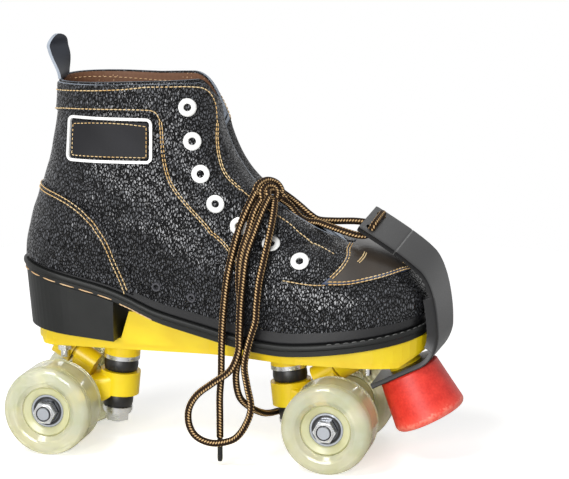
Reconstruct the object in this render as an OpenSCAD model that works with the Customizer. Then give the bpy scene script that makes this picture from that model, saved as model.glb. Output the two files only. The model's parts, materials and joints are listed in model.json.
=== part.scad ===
// Leather quad roller skate for the right foot: a high boot on a moulded plate, with two sprung
// trucks, four wheels, a toe strap and a toe stop.
// Millimetres. +X points to the toe, +Y to the wearer's left and +Z up. The origin lies on the
// ground below the middle of the overall length. Inside the modules X counts from midway between
// the axles, and the module placed() moves the result to the origin.

/* [Wheels and axles] */
// Diameter of a wheel over its tread
wheel_d = 58; // [55:0.5:62]
// Width of a wheel
wheel_w = 33; // [31:0.5:36]
// Radius of the core inside the cast tyre
core_r = 16.5; // [15:0.5:19]
// Rounding of the tread's shoulders
shoulder_r = 5; // [3:0.5:7]
// Depth of the dish in a wheel's face
face_dish = 3; // [1.5:0.5:4]
// Free space between the two wheels of a truck
wheel_space = 43; // [41:0.5:50]
// Distance from a wheel's face to its bearing
bearing_recess = 6; // [5:0.5:7]
// Outer diameter of a bearing
bearing_d = 22; // [20:0.5:24]
// Width of a bearing
bearing_w = 7; // [6:0.5:8]
// Diameter of an axle
axle_d = 8; // [7:0.25:8.5]
// Distance between the front and rear axles
wheelbase = 185.4; // [175:0.2:200]
// Width across the flats of an axle nut
nut_af = 13; // [12:0.5:14]
// Height of an axle nut
nut_h = 6.5; // [5:0.5:8]

/* [Trucks] */
// Distance from an axle back to its kingpin
kingpin_back = 33.7; // [32:0.1:38]
// Lean of the kingpin from upright
kingpin_lean = 6; // [2:0.5:8]
// Diameter of the kingpin
kingpin_d = 9.6; // [8:0.2:11]
// Height of the hanger's ring above its axle
ring_rise = 10.2; // [8.5:0.1:11.5]
// Outer radius of the hanger's ring
ring_r = 13.4; // [12.5:0.1:15]
// Height of the hanger's ring
ring_h = 15.6; // [14:0.1:17]
// Radius of the upper cushion
upper_cushion_r = 11.4; // [10:0.1:12]
// Height of the upper cushion
upper_cushion_h = 8.2; // [7:0.1:9.5]
// Radius of the lower cushion
lower_cushion_r = 10; // [9:0.1:11]
// Height of the lower cushion
lower_cushion_h = 9; // [8:0.1:10]
// Thickness of a cushion washer
washer_t = 2.8; // [2:0.1:3.2]
// Slope of the steering axis from the ground
pivot_slope = 32; // [30:0.5:34]
// Diameter of the pivot pin
pivot_d = 9; // [8:0.25:10]
// Wall of the rubber pivot cup
cup_wall = 2.4; // [1.5:0.1:3]

/* [Plate] */
// Gap between the wheels' tops and the underside of the plate
wheel_gap = 8; // [6:0.5:11]
// Thickness of the plate below the ball of the foot
plate_t = 7.8; // [7:0.1:10]
// Half width of the plate at the heel
plate_rear_half = 22; // [20:0.5:26]
// Half width of the plate at the ball of the foot
plate_front_half = 36; // [32:0.5:40]
// Height of the arch support above the heel pad
arch_h = 18; // [12:0.5:20]
// Step between the plate's upper rim and its lower body
plate_step = 1.5; // [1:0.25:2.5]
// Diameter of a mounting bolt
bolt_d = 5; // [4:0.25:6]

/* [Boot] */
// Length of the leather upper at the sole
boot_len = 266.7; // [258:0.1:280]
// Distance from the rear axle back to the heel
heel_over = 27; // [24:0.2:31]
// Thickness of the leather
leather_t = 2; // [1.5:0.1:2.5]
// Thickness of the lining
lining_t = 1; // [0.6:0.1:1.5]
// Thickness of a sewn overlay
overlay_t = 1.2; // [0.8:0.1:1.6]
// Height of the collar above the ball's sole edge
collar_h = 164.5; // [155:0.5:175]
// Length of the collar opening
collar_len = 107.2; // [102:0.2:114]
// Distance that the collar is lower at its back than at its front
collar_drop = 4.8; // [0:0.2:8]
// Distance that the collar stands in front of the heel
collar_in = 23.5; // [19:0.5:28]
// Height of the collar band
collar_band_h = 21; // [16:0.5:26]
// Half of the gap between the eyestays
throat_gap = 7; // [4:0.5:10]
// Distance from the heel to the bottom of the throat
throat_d = 214.7; // [206:0.1:223]
// Height of the bottom of the throat above the ball's sole edge
throat_h = 59; // [53:0.5:65]
// Half width of the boot at the heel seat
heel_half = 31.5; // [29:0.5:35]
// Half width of the boot at the ball of the foot
ball_half = 46; // [42:0.5:50]
// Height of the back of the heel seat above the ball
heel_lift = 42.5; // [38:0.5:46]
// Rise of the sole towards the toe
toe_spring = 11.3; // [8:0.1:15]
// Length of the heel block
heel_len = 67.7; // [62:0.1:74]
// Thickness of the outsole
sole_t = 7.2; // [6:0.1:9]
// Distance that the sole's lip stands out from the leather
lip_out = 3; // [2.5:0.1:4]
// Height of the sole's lip
lip_h = 3.2; // [2:0.1:4.5]
// Thickness of the insole
insole_t = 3; // [2:0.25:5]
// Outer diameter of a lace eyelet
eyelet_d = 11.6; // [10:0.2:13]
// Bore of a lace eyelet
eyelet_bore = 4.8; // [4.2:0.1:6]
// Outer diameter of a vent eyelet
vent_d = 6.4; // [5:0.2:8]
// Length of the side patch
patch_len = 57; // [48:0.5:62]
// Height of the side patch
patch_h = 29; // [24:0.5:33]
// Width of the side patch's frame
patch_frame_w = 2; // [1.5:0.1:3]
// Width of the pull tab
tab_w = 17; // [14:0.5:22]
// Height of the pull tab above the collar
tab_h = 24; // [18:0.5:30]
// Thickness of the pull tab
tab_t = 2; // [1.4:0.1:2.6]

/* [Toe stop and strap] */
// Diameter of the toe stop at its top
stop_top_d = 40; // [36:0.5:44]
// Diameter of the toe stop at its face
stop_face_d = 48; // [43:0.5:50]
// Height of the toe stop
stop_h = 35; // [31:0.5:38]
// Rounding at the toe stop's face
stop_round = 4; // [2:0.5:6]
// Lean of the toe stop from upright
stop_lean = 27; // [22:0.5:30]
// Distance from the front axle forward to the middle of the toe stop's top
stop_ahead = 43.3; // [41:0.1:47]
// Thickness of the toe strap
strap_t = 3.2; // [2.6:0.1:3.6]
// Width of the toe strap
strap_w = 40; // [34:0.5:44]
// Thickness of the strap's backing in front of the toe
strap_back_t = 4.2; // [3:0.1:5]

/* [Lace] */
// Diameter of the lace
lace_d = 4.5; // [3.5:0.1:5]
// Diameter of an aglet
aglet_d = 3.4; // [2.6:0.1:3.8]

/* [Hidden] */
$fn = 48;

// Ends and sides of the skate
front_end = 1;
rear_end = -1;
right_side = -1;
left_side = 1;

// Clearances
seat = 0.2;
slip = 0.05;
overlay_gap = 0.3;

// Heights from the ground up
wheel_r = wheel_d/2;
axle_z = wheel_r;
plate_z = wheel_d + wheel_gap;
pad_z = plate_z + plate_t;
feather_z = pad_z + sole_t;
heel_z = feather_z + heel_lift;
toe_z = feather_z + toe_spring;
throat_z = feather_z + throat_h;
collar_z = feather_z + collar_h;

// Places along the skate
axle_x = wheelbase/2;
heel_x = -axle_x - heel_over;
toe_x = heel_x + boot_len;
breast_x = heel_x + heel_len;
throat_x = heel_x + throat_d;
collar_back_x = heel_x + collar_in;
collar_front_x = collar_back_x + collar_len;

// Top of the plate under the heel
pad_slope = 0.09;
function pad(x) = pad_z + pad_slope*(breast_x - x);

// Boot surface. The side view is bounded by a back curve and by a toe and an instep curve that meet
// at the bottom of the throat. A girth v runs from 0 at the sole to 1 at the collar, and a turn q
// runs from 0 at the front along the right side, the heel and the left side back to 1.
throat_v = 0.4;
back_rise = collar_z - collar_drop - heel_z;
back_curve = [
    [heel_x, heel_z],
    [heel_x, heel_z + 0.22*back_rise],
    [collar_back_x - 1, heel_z + 0.542*back_rise],
    [collar_back_x, heel_z + back_rise]
];
toe_curve = [
    [toe_x, toe_z],
    [toe_x + 9, toe_z + 29.7],
    [throat_x + 35, throat_z - 4],
    [throat_x, throat_z]
];
instep_curve = [
    [throat_x, throat_z],
    [throat_x - 39, throat_z + 23],
    [collar_front_x + 2, throat_z + 32],
    [collar_front_x, collar_z]
];
// Half widths of the forefoot from the sole to the collar, as pairs of girth and share of ball_half
fore_half = [
    [0, 1], [0.1, 0.99], [0.2, 0.9], [0.3, 0.75], [0.4, 0.585], [0.55, 0.6], [0.7, 0.62], [1, 0.61]
];
ankle_swell = 4;
collar_tuck = 6.5;
collar_tip = -0.01;
toe_bend = 5;
bend_start = 179.7;
bend_len = 94;
toe_round = 76;
throat_round = 60;
front_round = 40;
heel_round = 34;
toe_power = 3;
round_power = 2.2;
corner_len = 10;
corner_v = 0.07;
arch_fade_v = 0.5;

function clamp01(t) = min(1, max(0, t));
function smooth(t) = let (c = clamp01(t)) c*c*(3 - 2*c);
function mix(a, b, t) = a + (b - a)*t;
function unit(p) = p/norm(p);
function reverse(list) = [for (i = [len(list) - 1:-1:0]) list[i]];
function bezier(p, t) =
    let (m = 1 - t)
    m*m*m*p[0] + 3*m*m*t*p[1] + 3*m*t*t*p[2] + t*t*t*p[3];
function round_end(t, power) = t >= 1 ? 1 : pow(1 - pow(1 - max(t, 0), power), 1/power);

// Height of the edge where the upper meets the sole
// It falls from the heel to the ball along pairs of distance from the heel's breast and share of
// heel_lift, and rises again to the toe
heel_fall = [
    [-68, 1], [-38, 0.85], [-4, 0.66], [12, 0.52], [26, 0.35], [44, 0.245], [77, 0.09], [95, 0.026],
    [112, 0]
];
fall_blur = 8;
spring_start = 179.7;
spring_power = 1.55;
function fall(d) =
    (lookup(d - fall_blur, heel_fall) + 2*lookup(d, heel_fall) + lookup(d + fall_blur, heel_fall))/4;
function feather(x) =
    let (d = x - heel_x)
    let (spring = max(0, (d - spring_start)/(boot_len - spring_start)))
    feather_z + heel_lift*fall(d - heel_len) + toe_spring*pow(spring, spring_power);

function back_line(v) = bezier(back_curve, v);
function front_line(v) =
    v <= throat_v ? bezier(toe_curve, v/throat_v) : bezier(instep_curve, (v - throat_v)/(1 - throat_v));
function heel_half_at(v) = heel_half + ankle_swell*smooth(v/0.25) - collar_tuck*smooth((v - 0.55)/0.45);
function fore_half_at(v) =
    ball_half*(lookup(v - 0.05, fore_half) + 2*lookup(v, fore_half) + lookup(v + 0.05, fore_half))/4;
function front_round_at(v) =
    v <= throat_v
    ? mix(toe_round, throat_round, v/throat_v)
    : mix(throat_round, front_round, smooth((v - throat_v)/0.3));
function front_power_at(v) = mix(toe_power, round_power, clamp01(v/throat_v));
function open_gap(v) = throat_gap*smooth((v - throat_v)/0.1);
// Girth of the collar's top edge, which drops in a round corner to the throat
function collar_edge(q) =
    let (d = collar_len*(1 - cos(360*q))/2)
    let (ease = max(0, 1 - d/corner_len))
    1 - corner_v*(1 - sqrt(1 - ease*ease));

function boot_xz(s, v) =
    let (b = back_line(v), f = front_line(v))
    let (x = mix(b.x, f.x, s))
    let (sag = feather(mix(heel_x, toe_x, s)) - mix(heel_z, toe_z, s))
    let (fade = max(0, 1 - v/arch_fade_v))
    [x, mix(b.y, f.y, s) + sag*fade*fade];
function boot_half(s, v) =
    let (length = front_line(v).x - back_line(v).x)
    let (wide = mix(heel_half_at(v), fore_half_at(v), smooth((s - 0.35)/0.4)))
    let (at_heel = round_end(s*length/(heel_round + 10*v), 2))
    let (at_front = round_end((1 - s)*length/front_round_at(v), front_power_at(v)))
    let (gap = s > 0.5 ? open_gap(v) : 0)
    mix(gap, wide, at_front)*at_heel;
function boot_at(q, v) =
    let (turn = q < 0 ? 1 + q : q > 1 ? q - 1 : q)
    let (s = (1 + cos(360*turn))/2)
    let (side = turn < 0.5 ? right_side : left_side)
    let (p = boot_xz(s, v))
    let (bend = max(0, (p.x - heel_x - bend_start)/bend_len))
    let (y = side*boot_half(s, v) + toe_bend*bend*bend)
    [p.x, y, p.y - collar_tip*y*smooth((v - 0.5)/0.5)];

// Outward normal of the boot surface
dq = 0.002;
dv = 0.004;
function q_step(q, v, d) = v > throat_v ? clamp01(q + d) : q + d;
function boot_normal(q, v) =
    let (along = boot_at(q_step(q, v, dq), v) - boot_at(q_step(q, v, -dq), v))
    let (up = boot_at(q, min(1, v + dv)) - boot_at(q, max(0, v - dv)))
    unit(cross(up, along));
function boot_offset(q, v, out) = boot_at(q, v) + out*boot_normal(q, v);
// Girth at which the side reaches a given height at turn q
function girth_at(q, z, low = 0, high = 1, steps = 14) =
    let (mid = (low + high)/2)
    steps == 0 ? mid
    : boot_at(q, mid).z < z ? girth_at(q, z, mid, high, steps - 1)
    : girth_at(q, z, low, mid, steps - 1);
// Turn on the right side that lies at x on girth v
function turn_at(x, v) =
    let (b = back_line(v).x, f = front_line(v).x)
    acos(max(-1, min(1, 2*(x - b)/(f - b) - 1)))/360;
// Turn and girth of the right side's point at x and z
function side_spot(x, z, low = 0, high = 1, steps = 14) =
    let (mid = (low + high)/2, q = turn_at(x, mid))
    steps == 0 ? [q, mid]
    : boot_at(q, mid).z < z ? side_spot(x, z, mid, high, steps - 1)
    : side_spot(x, z, low, mid, steps - 1);

// Closed sheet between two equal grids of points, outside first
function grid_faces(rows, cols, base_out, base_in) = [
    for (j = [0:rows - 2], i = [0:cols - 2])
        let (a = j*cols + i, b = a + 1, c = a + cols + 1, d = a + cols)
        each [
            [base_out + a, base_out + b, base_out + c],
            [base_out + a, base_out + c, base_out + d],
            [base_in + a, base_in + c, base_in + b],
            [base_in + a, base_in + d, base_in + c]
        ]
];
function rim_faces(ring, base_in) = [
    for (k = [0:len(ring) - 1])
        let (a = ring[k], b = ring[(k + 1) % len(ring)])
        each [[a, base_in + b, b], [a, base_in + a, base_in + b]]
];
module sheet(outside, inside) {
    rows = len(outside);
    cols = len(outside[0]);
    count = rows*cols;
    points = concat([for (row = outside) each row], [for (row = inside) each row]);
    ring = concat(
        [for (i = [0:cols - 1]) i],
        [for (j = [1:rows - 1]) j*cols + cols - 1],
        [for (i = [cols - 2:-1:0]) (rows - 1)*cols + i],
        [for (j = [rows - 2:-1:1]) j*cols]
    );
    polyhedron(points, concat(grid_faces(rows, cols, 0, count), rim_faces(ring, count)));
}
// Overlay on the boot surface from a grid of turn and girth pairs
module overlay(spots, from, to) {
    sheet(
        [for (row = spots) [for (p = row) boot_offset(p[0], p[1], to)]],
        [for (row = spots) [for (p = row) boot_offset(p[0], p[1], from)]]
    );
}
// Tube swept along a route
function route_tangent(p, i) = unit(p[min(i + 1, len(p) - 1)] - p[max(i - 1, 0)]);
function route_side(p, i) =
    i == 0
    ? let (t = route_tangent(p, 0)) unit(cross(t, abs(t.z) < 0.9 ? [0, 0, 1] : [1, 0, 0]))
    : let (t = route_tangent(p, i), last = route_side(p, i - 1)) unit(last - t*(last*t));
module tube(p, d, sides = 8) {
    last = len(p) - 1;
    points = [
        for (i = [0:last])
            let (t = route_tangent(p, i), a = route_side(p, i), b = cross(t, a))
            for (k = [0:sides - 1])
                p[i] + d/2*(cos(360*k/sides)*a + sin(360*k/sides)*b)
    ];
    walls = [
        for (i = [0:last - 1], k = [0:sides - 1])
            let (n = (k + 1) % sides, a = i*sides + k, b = i*sides + n)
            each [[a, a + sides, b], [b, a + sides, b + sides]]
    ];
    start = [for (k = [0:sides - 1]) k];
    end = [for (k = [sides - 1:-1:0]) last*sides + k];
    polyhedron(points, concat(walls, [start, end]));
}
// Side profile in X and Z, extruded along Y about the middle
module side_prism(profile, w) {
    translate([0, w/2, 0]) rotate([90, 0, 0]) linear_extrude(w) polygon(profile);
}

// Lines of the sole
upper_cols = 64;
upper_toe_rows = 8;
upper_leg_rows = 12;
outline_points = 128;
overhang = 12;
function sole_x(i) = heel_x + boot_len*(1 - cos(360*i/upper_cols))/2;
function edge_line(dz) = concat(
    [[heel_x - overhang, heel_z + dz]],
    [for (i = [0:upper_cols/2]) [sole_x(i), feather(sole_x(i)) + dz]],
    [[toe_x + overhang, toe_z + dz]]
);
function sole_outline(out) = [
    for (i = [0:outline_points - 1])
        let (q = i/outline_points, p = boot_at(q, 0))
        let (t = boot_at(q + dq, 0) - boot_at(q - dq, 0), l = norm([t.x, t.y]))
        [p.x - out*t.y/l, p.y + out*t.x/l]
];
module sole_layer(out, top, bottom) {
    intersection() {
        linear_extrude(collar_z) polygon(sole_outline(out));
        side_prism(concat(edge_line(top), reverse(edge_line(bottom))), 4*ball_half);
    }
}

// Truck layout in the front truck's own place
ring_x = axle_x - kingpin_back;
ring_z = axle_z + ring_rise;
ring_bore_r = kingpin_d/2 + 2.7;
upper_cushion_base = ring_h/2 + seat;
upper_washer_base = upper_cushion_base + upper_cushion_h;
boss_base = upper_washer_base + washer_t;
lower_cushion_base = -ring_h/2 - seat - lower_cushion_h;
lower_washer_base = lower_cushion_base - washer_t;
kingpin_nut_h = 7;
kingpin_nut_af = 14;
kingpin_nut_base = lower_washer_base - kingpin_nut_h;
kingpin_tip = kingpin_nut_base - 1;
kingpin_top = (pad_z - 2 - ring_z)/cos(kingpin_lean);
kingpin_boss_r = 12;
upper_washer_r = upper_cushion_r + 0.7;
lower_washer_r = lower_cushion_r;
arm_r = 7.5;
arm_start = 19;
arm_end = 34;
pin_len = 9;
cup_gap = 2;
cup_len = 10.5;
pivot_boss_len = 13;
hanger_relief = 3;
pivot_boss_r = pivot_d/2 + cup_wall + 2.6;

// Wheel and axle layout
wheel_y = wheel_space/2 + wheel_w/2;
bearing_out = wheel_w/2 - bearing_recess;
bearing_in = bearing_out - bearing_w;
race_in_r = axle_d/2 + 2.2;
race_out_r = bearing_d/2 - 2;
ball_r = (race_out_r - race_in_r)/2 - slip;
ball_count = 7;
thin_washer_t = 1;
axle_tip = 1.5;
axle_half = wheel_y + bearing_out + thin_washer_t + nut_h + axle_tip;
axle_tube_r = 9;
axle_neck_r = 7;
axle_tube_half = wheel_space/2 - 2;
axle_neck_half = wheel_y - bearing_out - thin_washer_t;

// Toe stop layout: its axis leans forward towards the ground
stop_top_x = axle_x + stop_ahead;
stop_top_z = plate_z - 7;
stop_face_x = stop_top_x + stop_h*sin(stop_lean);
stop_rim_x = stop_face_x + (stop_face_d/2 - stop_round)*cos(stop_lean);
stop_front_x = stop_rim_x - stop_round*sin(stop_lean) + stop_round;
stop_bolt_d = 8;
stop_bolt_head_r = 7.5;
stop_bolt_head_h = 5.5;
stop_well_r = 9.5;
stop_well_h = 15;
stop_well_z = stop_well_h - stop_h;

// Shift from midway between the axles to the middle of the overall length
frame_shift = (heel_x - lip_out + stop_front_x)/2;

module placed() {
    translate([-frame_shift, 0, 0]) children();
}
module at_end(end) {
    if (end == front_end) children();
    else mirror([1, 0, 0]) children();
}
module at_wheel(end, side) {
    translate([end*axle_x, side*wheel_y, axle_z]) rotate([90, 0, 0]) children();
}
module on_kingpin() {
    translate([ring_x, 0, ring_z]) rotate([0, -kingpin_lean, 0]) children();
}
module on_pivot() {
    translate([ring_x, 0, ring_z]) rotate([0, 90 - pivot_slope, 0]) children();
}
module on_stop() {
    translate([stop_top_x, 0, stop_top_z]) rotate([0, -stop_lean, 0]) children();
}
module across() {
    rotate([90, 0, 0]) children();
}
module hexagon(af, h) {
    cylinder(r = af/2/cos(30), h = h, $fn = 6);
}
module ring(r_out, r_in, h) {
    difference() {
        cylinder(r = r_out, h = h);
        translate([0, 0, -1]) cylinder(r = r_in, h = h + 2);
    }
}

// Boot

function upper_girth(q, j) =
    j <= upper_toe_rows
    ? throat_v*j/upper_toe_rows
    : mix(throat_v, collar_edge(q), (j - upper_toe_rows)/upper_leg_rows);
// The shell is one closed sheet below the throat and open at the front above it
module upper() {
    rows = upper_toe_rows + upper_leg_rows;
    stride = upper_cols + 1;
    count = (rows + 1)*stride;
    function seated(p, q, j) = j == 0 ? [p.x, p.y, boot_at(q, 0).z + seat] : p;
    function point(i, j, out) =
        let (q = i/upper_cols)
        seated(boot_offset(q, upper_girth(q, j), out), q, j);
    function id(i, j) = j*stride + (j <= upper_toe_rows ? i % upper_cols : i);
    points = concat(
        [for (j = [0:rows], i = [0:upper_cols]) point(i, j, 0)],
        [for (j = [0:rows], i = [0:upper_cols]) point(i, j, -leather_t)]
    );
    walls = [
        for (j = [0:rows - 1], i = [0:upper_cols - 1])
            let (a = id(i, j), b = id(i + 1, j), c = id(i + 1, j + 1), d = id(i, j + 1))
            each [
                [a, b, c], [a, c, d],
                [count + a, count + c, count + b], [count + a, count + d, count + c]
            ]
    ];
    sole_rim = rim_faces([for (i = [0:upper_cols - 1]) id(i, 0)], count);
    throat_rim = rim_faces(
        concat(
            [for (j = [upper_toe_rows:rows]) id(upper_cols, j)],
            [for (i = [upper_cols - 1:-1:0]) id(i, rows)],
            [for (j = [rows - 1:-1:upper_toe_rows + 1]) id(0, j)]
        ),
        count
    );
    color("#1d1f24") polyhedron(points, concat(walls, sole_rim, throat_rim));
}

// The lining follows the leather's own rows and columns
lining_low_row = upper_toe_rows + 2;
lining_edge_cols = 2;
module lining() {
    out = -leather_t - seat;
    spots = [
        for (j = [lining_low_row:upper_toe_rows + upper_leg_rows])
            [
                for (i = [lining_edge_cols:upper_cols - lining_edge_cols])
                    let (q = i/upper_cols)
                    [q, upper_girth(q, j)]
            ]
    ];
    color("#8a5a34") overlay(spots, out - lining_t, out);
}

// The tongue is sewn under the bottom of the throat, lies inside the eyestays and bridges the gap
tongue_t = 2.4;
tongue_reach = 22;
tongue_foot = 9;
tongue_drop = 7.6;
module tongue() {
    function girth(j) = mix(0.385, 0.985, j/9);
    function spot(k, j) =
        let (v = girth(j), drop = mix(0.6, tongue_drop, smooth(j/3)))
        let (f = boot_offset(0, v, -leather_t - drop))
        let (reach = mix(tongue_foot, tongue_reach, smooth(j/4)))
        let (y = reach*k/5, crown = mix(2.5, 10, j/9)*k*k/25)
        [f.x - crown*1.2, y, f.z - crown];
    function inner(k, j) = spot(k, j) - [tongue_t*0.8, 0, tongue_t*0.6];
    color("#23211f") sheet(
        [for (j = [0:9]) [for (k = [5:-1:-5]) spot(k, j)]],
        [for (j = [0:9]) [for (k = [5:-1:-5]) inner(k, j)]]
    );
}

module insole() {
    color("#b08a5e") sole_layer(-leather_t - 1.2, insole_t + seat, seat);
}

module outsole() {
    color("#17181a") union() {
        sole_layer(lip_out, 0, -lip_h);
        sole_layer(lip_out - 1.2, -lip_h, -sole_t);
    }
}

heel_slant = 5;
module heel_body() {
    linear_extrude(collar_z) polygon(sole_outline(lip_out - 1.2));
}
module heel_block() {
    color("#1b1c1e") intersection() {
        heel_body();
        translate([heel_x, 0, heel_z]) rotate([0, -heel_slant, 0]) translate([-heel_x, 0, -heel_z])
            heel_body();
        side_prism(
            concat(edge_line(-sole_t), [[toe_x, pad(toe_x)], [heel_x - overhang, pad(heel_x - overhang)]]),
            4*ball_half
        );
        side_prism(
            [[heel_x - overhang, 0], [heel_x - overhang, collar_z], [breast_x, collar_z], [breast_x, 0]],
            4*ball_half
        );
    }
}

// Sewn overlays
counter_top_v = 0.515;
counter_reach = 0.187;
counter_taper = 0.04;
module heel_counter() {
    function edge(v) =
        0.5 - (counter_reach - counter_taper*v)*pow(1 - pow(v/(counter_top_v + 0.005), 9), 0.4);
    spots = [
        for (j = [0:10])
            let (v = mix(0.012, counter_top_v, sin(90*j/10)))
            [for (i = [0:28]) [mix(edge(v), 1 - edge(v), i/28), v]]
    ];
    color("#202226") overlay(spots, overlay_gap, overlay_gap + overlay_t);
}

module collar_band() {
    spots = [
        for (j = [0:2])
            [
                for (i = [0:40])
                    let (q = mix(0.012, 0.988, i/40))
                    let (low = girth_at(q, collar_z - collar_band_h - 0.04*collar_drop*abs(q - 0.5)))
                    [q, mix(low, collar_edge(q) - 0.008, j/2)]
            ]
    ];
    color("#202226") difference() {
        overlay(spots, overlay_gap, overlay_gap + overlay_t);
        for (side = [right_side, left_side])
            on_side(eyelet_spots[0][0], eyelet_spots[0][1], side)
                cylinder(d = eyelet_bore + 2, h = 12, center = true, $fn = 12);
    }
}

// The eyestay runs from the collar band down to the vamp, and its lower end passes the vamp patch
eyestay_low_v = 0.19;
eyestay_rows = 18;
eyestay_cols = 9;
function eyestay_edge(v) = mix(0.214, 0.182, smooth((v - 0.6)/0.28));
patch_low_v = 0.178;
patch_top_v = 0.385;
patch_corner_q = 0.14;
patch_taper = 0.38;
patch_round = 0.06;
function patch_edge(v) =
    (patch_corner_q - patch_taper*(v - patch_low_v))*round_end((patch_top_v - v)/patch_round, 2);
// Turn and girth of the lace eyelets on the right side, from the collar down
eyelet_spots = [
    [0.125, 0.945], [0.131, 0.86], [0.146, 0.748], [0.166, 0.602], [0.171, 0.471], [0.162, 0.365],
    [0.154, 0.274]
];
eyelet_flange_t = 1.5;
eyelet_lift = 0.6;
module on_side(q, v, side) {
    p = boot_at(q, v);
    n = boot_normal(q, v);
    tip = acos(n.z);
    spin = atan2(n.y, n.x);
    mirror([0, side == left_side ? 1 : 0, 0]) translate(p) rotate([0, tip, spin]) children();
}
module eyestay(side) {
    first = side == right_side ? 1 : -1;
    base = side == right_side ? 0 : 1;
    rows = eyestay_rows;
    spots = [
        for (j = [0:rows])
            [
                for (i = [0:eyestay_cols])
                    let (guess = mix(eyestay_low_v, 0.93, j/rows))
                    let (near = guess < throat_v ? patch_edge(guess) + 0.012 : 0.004)
                    let (u = mix(near, eyestay_edge(guess), i/eyestay_cols), q = base + first*u)
                    let (top = girth_at(q, collar_z - collar_band_h - 0.4))
                    [q, min(guess, mix(guess, top, j/rows))]
            ]
    ];
    color("#202226") difference() {
        overlay(
            side == right_side ? spots : [for (row = spots) reverse(row)],
            overlay_gap, overlay_gap + overlay_t
        );
        for (k = [1:len(eyelet_spots) - 1])
            on_side(eyelet_spots[k][0], eyelet_spots[k][1], side)
                cylinder(d = eyelet_bore + 2, h = 12, center = true, $fn = 12);
    }
}
module eyestay_right() { eyestay(right_side); }
module eyestay_left() { eyestay(left_side); }

module vamp_patch() {
    spots = [
        for (j = [0:8])
            let (v = mix(patch_low_v, patch_top_v - 0.004, j/8))
            [for (i = [-9:9]) [patch_edge(v)*i/9, v]]
    ];
    color("#2b2623") overlay(spots, overlay_gap, overlay_gap + overlay_t);
}

// The side patch sits low behind the ankle on the outer side
patch_mid = [heel_x + 66, feather_z + 124.5];
patch_margin = 0.8;
module side_patch() {
    spots = [
        for (j = [0:4])
            [
                for (i = [0:8])
                    side_spot(
                        patch_mid.x + (patch_len/2 - patch_frame_w - patch_margin)*(1 - 2*i/8),
                        patch_mid.y + (patch_h/2 - patch_frame_w - patch_margin)*(2*j/4 - 1)
                    )
            ]
    ];
    color("#2a2a2c") overlay(spots, overlay_gap, overlay_gap + 1);
}
frame_corner_r = 4;
frame_corners = [[1, 1], [-1, 1], [-1, -1], [1, -1]];
module side_patch_frame() {
    function rounded(inset) = [
        for (n = [0:3])
            let (c = frame_corners[n], d = frame_corners[(n + 1) % 4])
            let (half = [patch_len/2 - frame_corner_r, patch_h/2 - frame_corner_r])
            let (r = frame_corner_r - inset)
            each concat(
                [
                    for (a = [0:22.5:90])
                        patch_mid + [c.x*half.x + r*cos(90*n + a), c.y*half.y + r*sin(90*n + a)]
                ],
                [
                    for (k = [1:5])
                        let (m = mix(c, d, k/6))
                        patch_mid + [m.x*half.x + r*cos(90*n + 90), m.y*half.y + r*sin(90*n + 90)]
                ]
            )
    ];
    function lifted(outline, out) = [
        for (p = outline) let (s = side_spot(p.x, p.y)) boot_offset(s[0], s[1], out)
    ];
    low = overlay_gap;
    high = overlay_gap + 1.6;
    rings = [
        lifted(rounded(0), low), lifted(rounded(0), high),
        lifted(rounded(patch_frame_w - 0.2), high), lifted(rounded(patch_frame_w - 0.2), low)
    ];
    n = len(rings[0]);
    faces = [
        for (r = [0:3], k = [0:n - 1])
            let (s = (r + 1) % 4, m = (k + 1) % n)
            each [[r*n + k, s*n + k, s*n + m], [r*n + k, s*n + m, r*n + m]]
    ];
    color("#f2f2f0") polyhedron([for (loop = rings) each loop], faces);
}

// The pull tab stands on the back of the collar, leans back and turns a little to the right
tab_seat = 0.35;
tab_in = 2.2;
tab_lean = 11;
tab_curl = 3;
tab_turn = 20;
module pull_tab() {
    base_z = collar_z - collar_drop + tab_seat;
    rows = 12;
    function lean(t) = tab_lean*pow(t, 1.5) - tab_curl*smooth((t - 0.7)/0.3);
    function half(t) = tab_w/2*sqrt(max(0.05, 1 - pow(max(0, (t - 0.62)/0.4), 2)));
    function row(j, depth) =
        let (t = j/rows, z = mix(base_z, collar_z + tab_h, t))
        let (twist = tab_turn*smooth((t - 0.04)/0.74))
        let (x = collar_back_x + tab_in + tab_t/2 - lean(t) - depth)
        [
            for (k = [-2:2])
                [x + k*half(t)/2*sin(twist), k*half(t)/2*cos(twist), z]
        ];
    color("#22262f") sheet(
        [for (j = [0:rows]) row(j, tab_t)],
        [for (j = [0:rows]) row(j, 0)]
    );
}

// An eyelet is a flange on the leather with a short barrel in the eyestay
module eyelet() {
    base = overlay_gap + overlay_t;
    rotate_extrude($fn = 32) polygon([
        [eyelet_bore/2, overlay_gap + 0.1],
        [eyelet_bore/2 + 0.6, overlay_gap + 0.1],
        [eyelet_bore/2 + 0.6, base + eyelet_lift],
        [eyelet_d/2, base + eyelet_lift],
        [eyelet_d/2, base + eyelet_lift + 0.4],
        [eyelet_d/2 - 0.8, base + eyelet_flange_t],
        [eyelet_bore/2 + 0.5, base + eyelet_flange_t],
        [eyelet_bore/2, base + eyelet_flange_t - 0.4]
    ]);
}
module eyelets() {
    color("#f4f4f2")
        for (spot = eyelet_spots, side = [right_side, left_side])
            on_side(spot[0], spot[1], side) eyelet();
}
vent_spots = [[0.295, 0.087], [0.266, 0.079]];
module vent_eyelets() {
    color("#121314")
        for (spot = vent_spots)
            on_side(spot[0], spot[1], right_side) translate([0, 0, 0.2])
                rotate_extrude($fn = 24) polygon([
                    [1.5, 0], [vent_d/2, 0], [vent_d/2 - 0.4, 0.8], [1.9, 0.8]
                ]);
}

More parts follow.
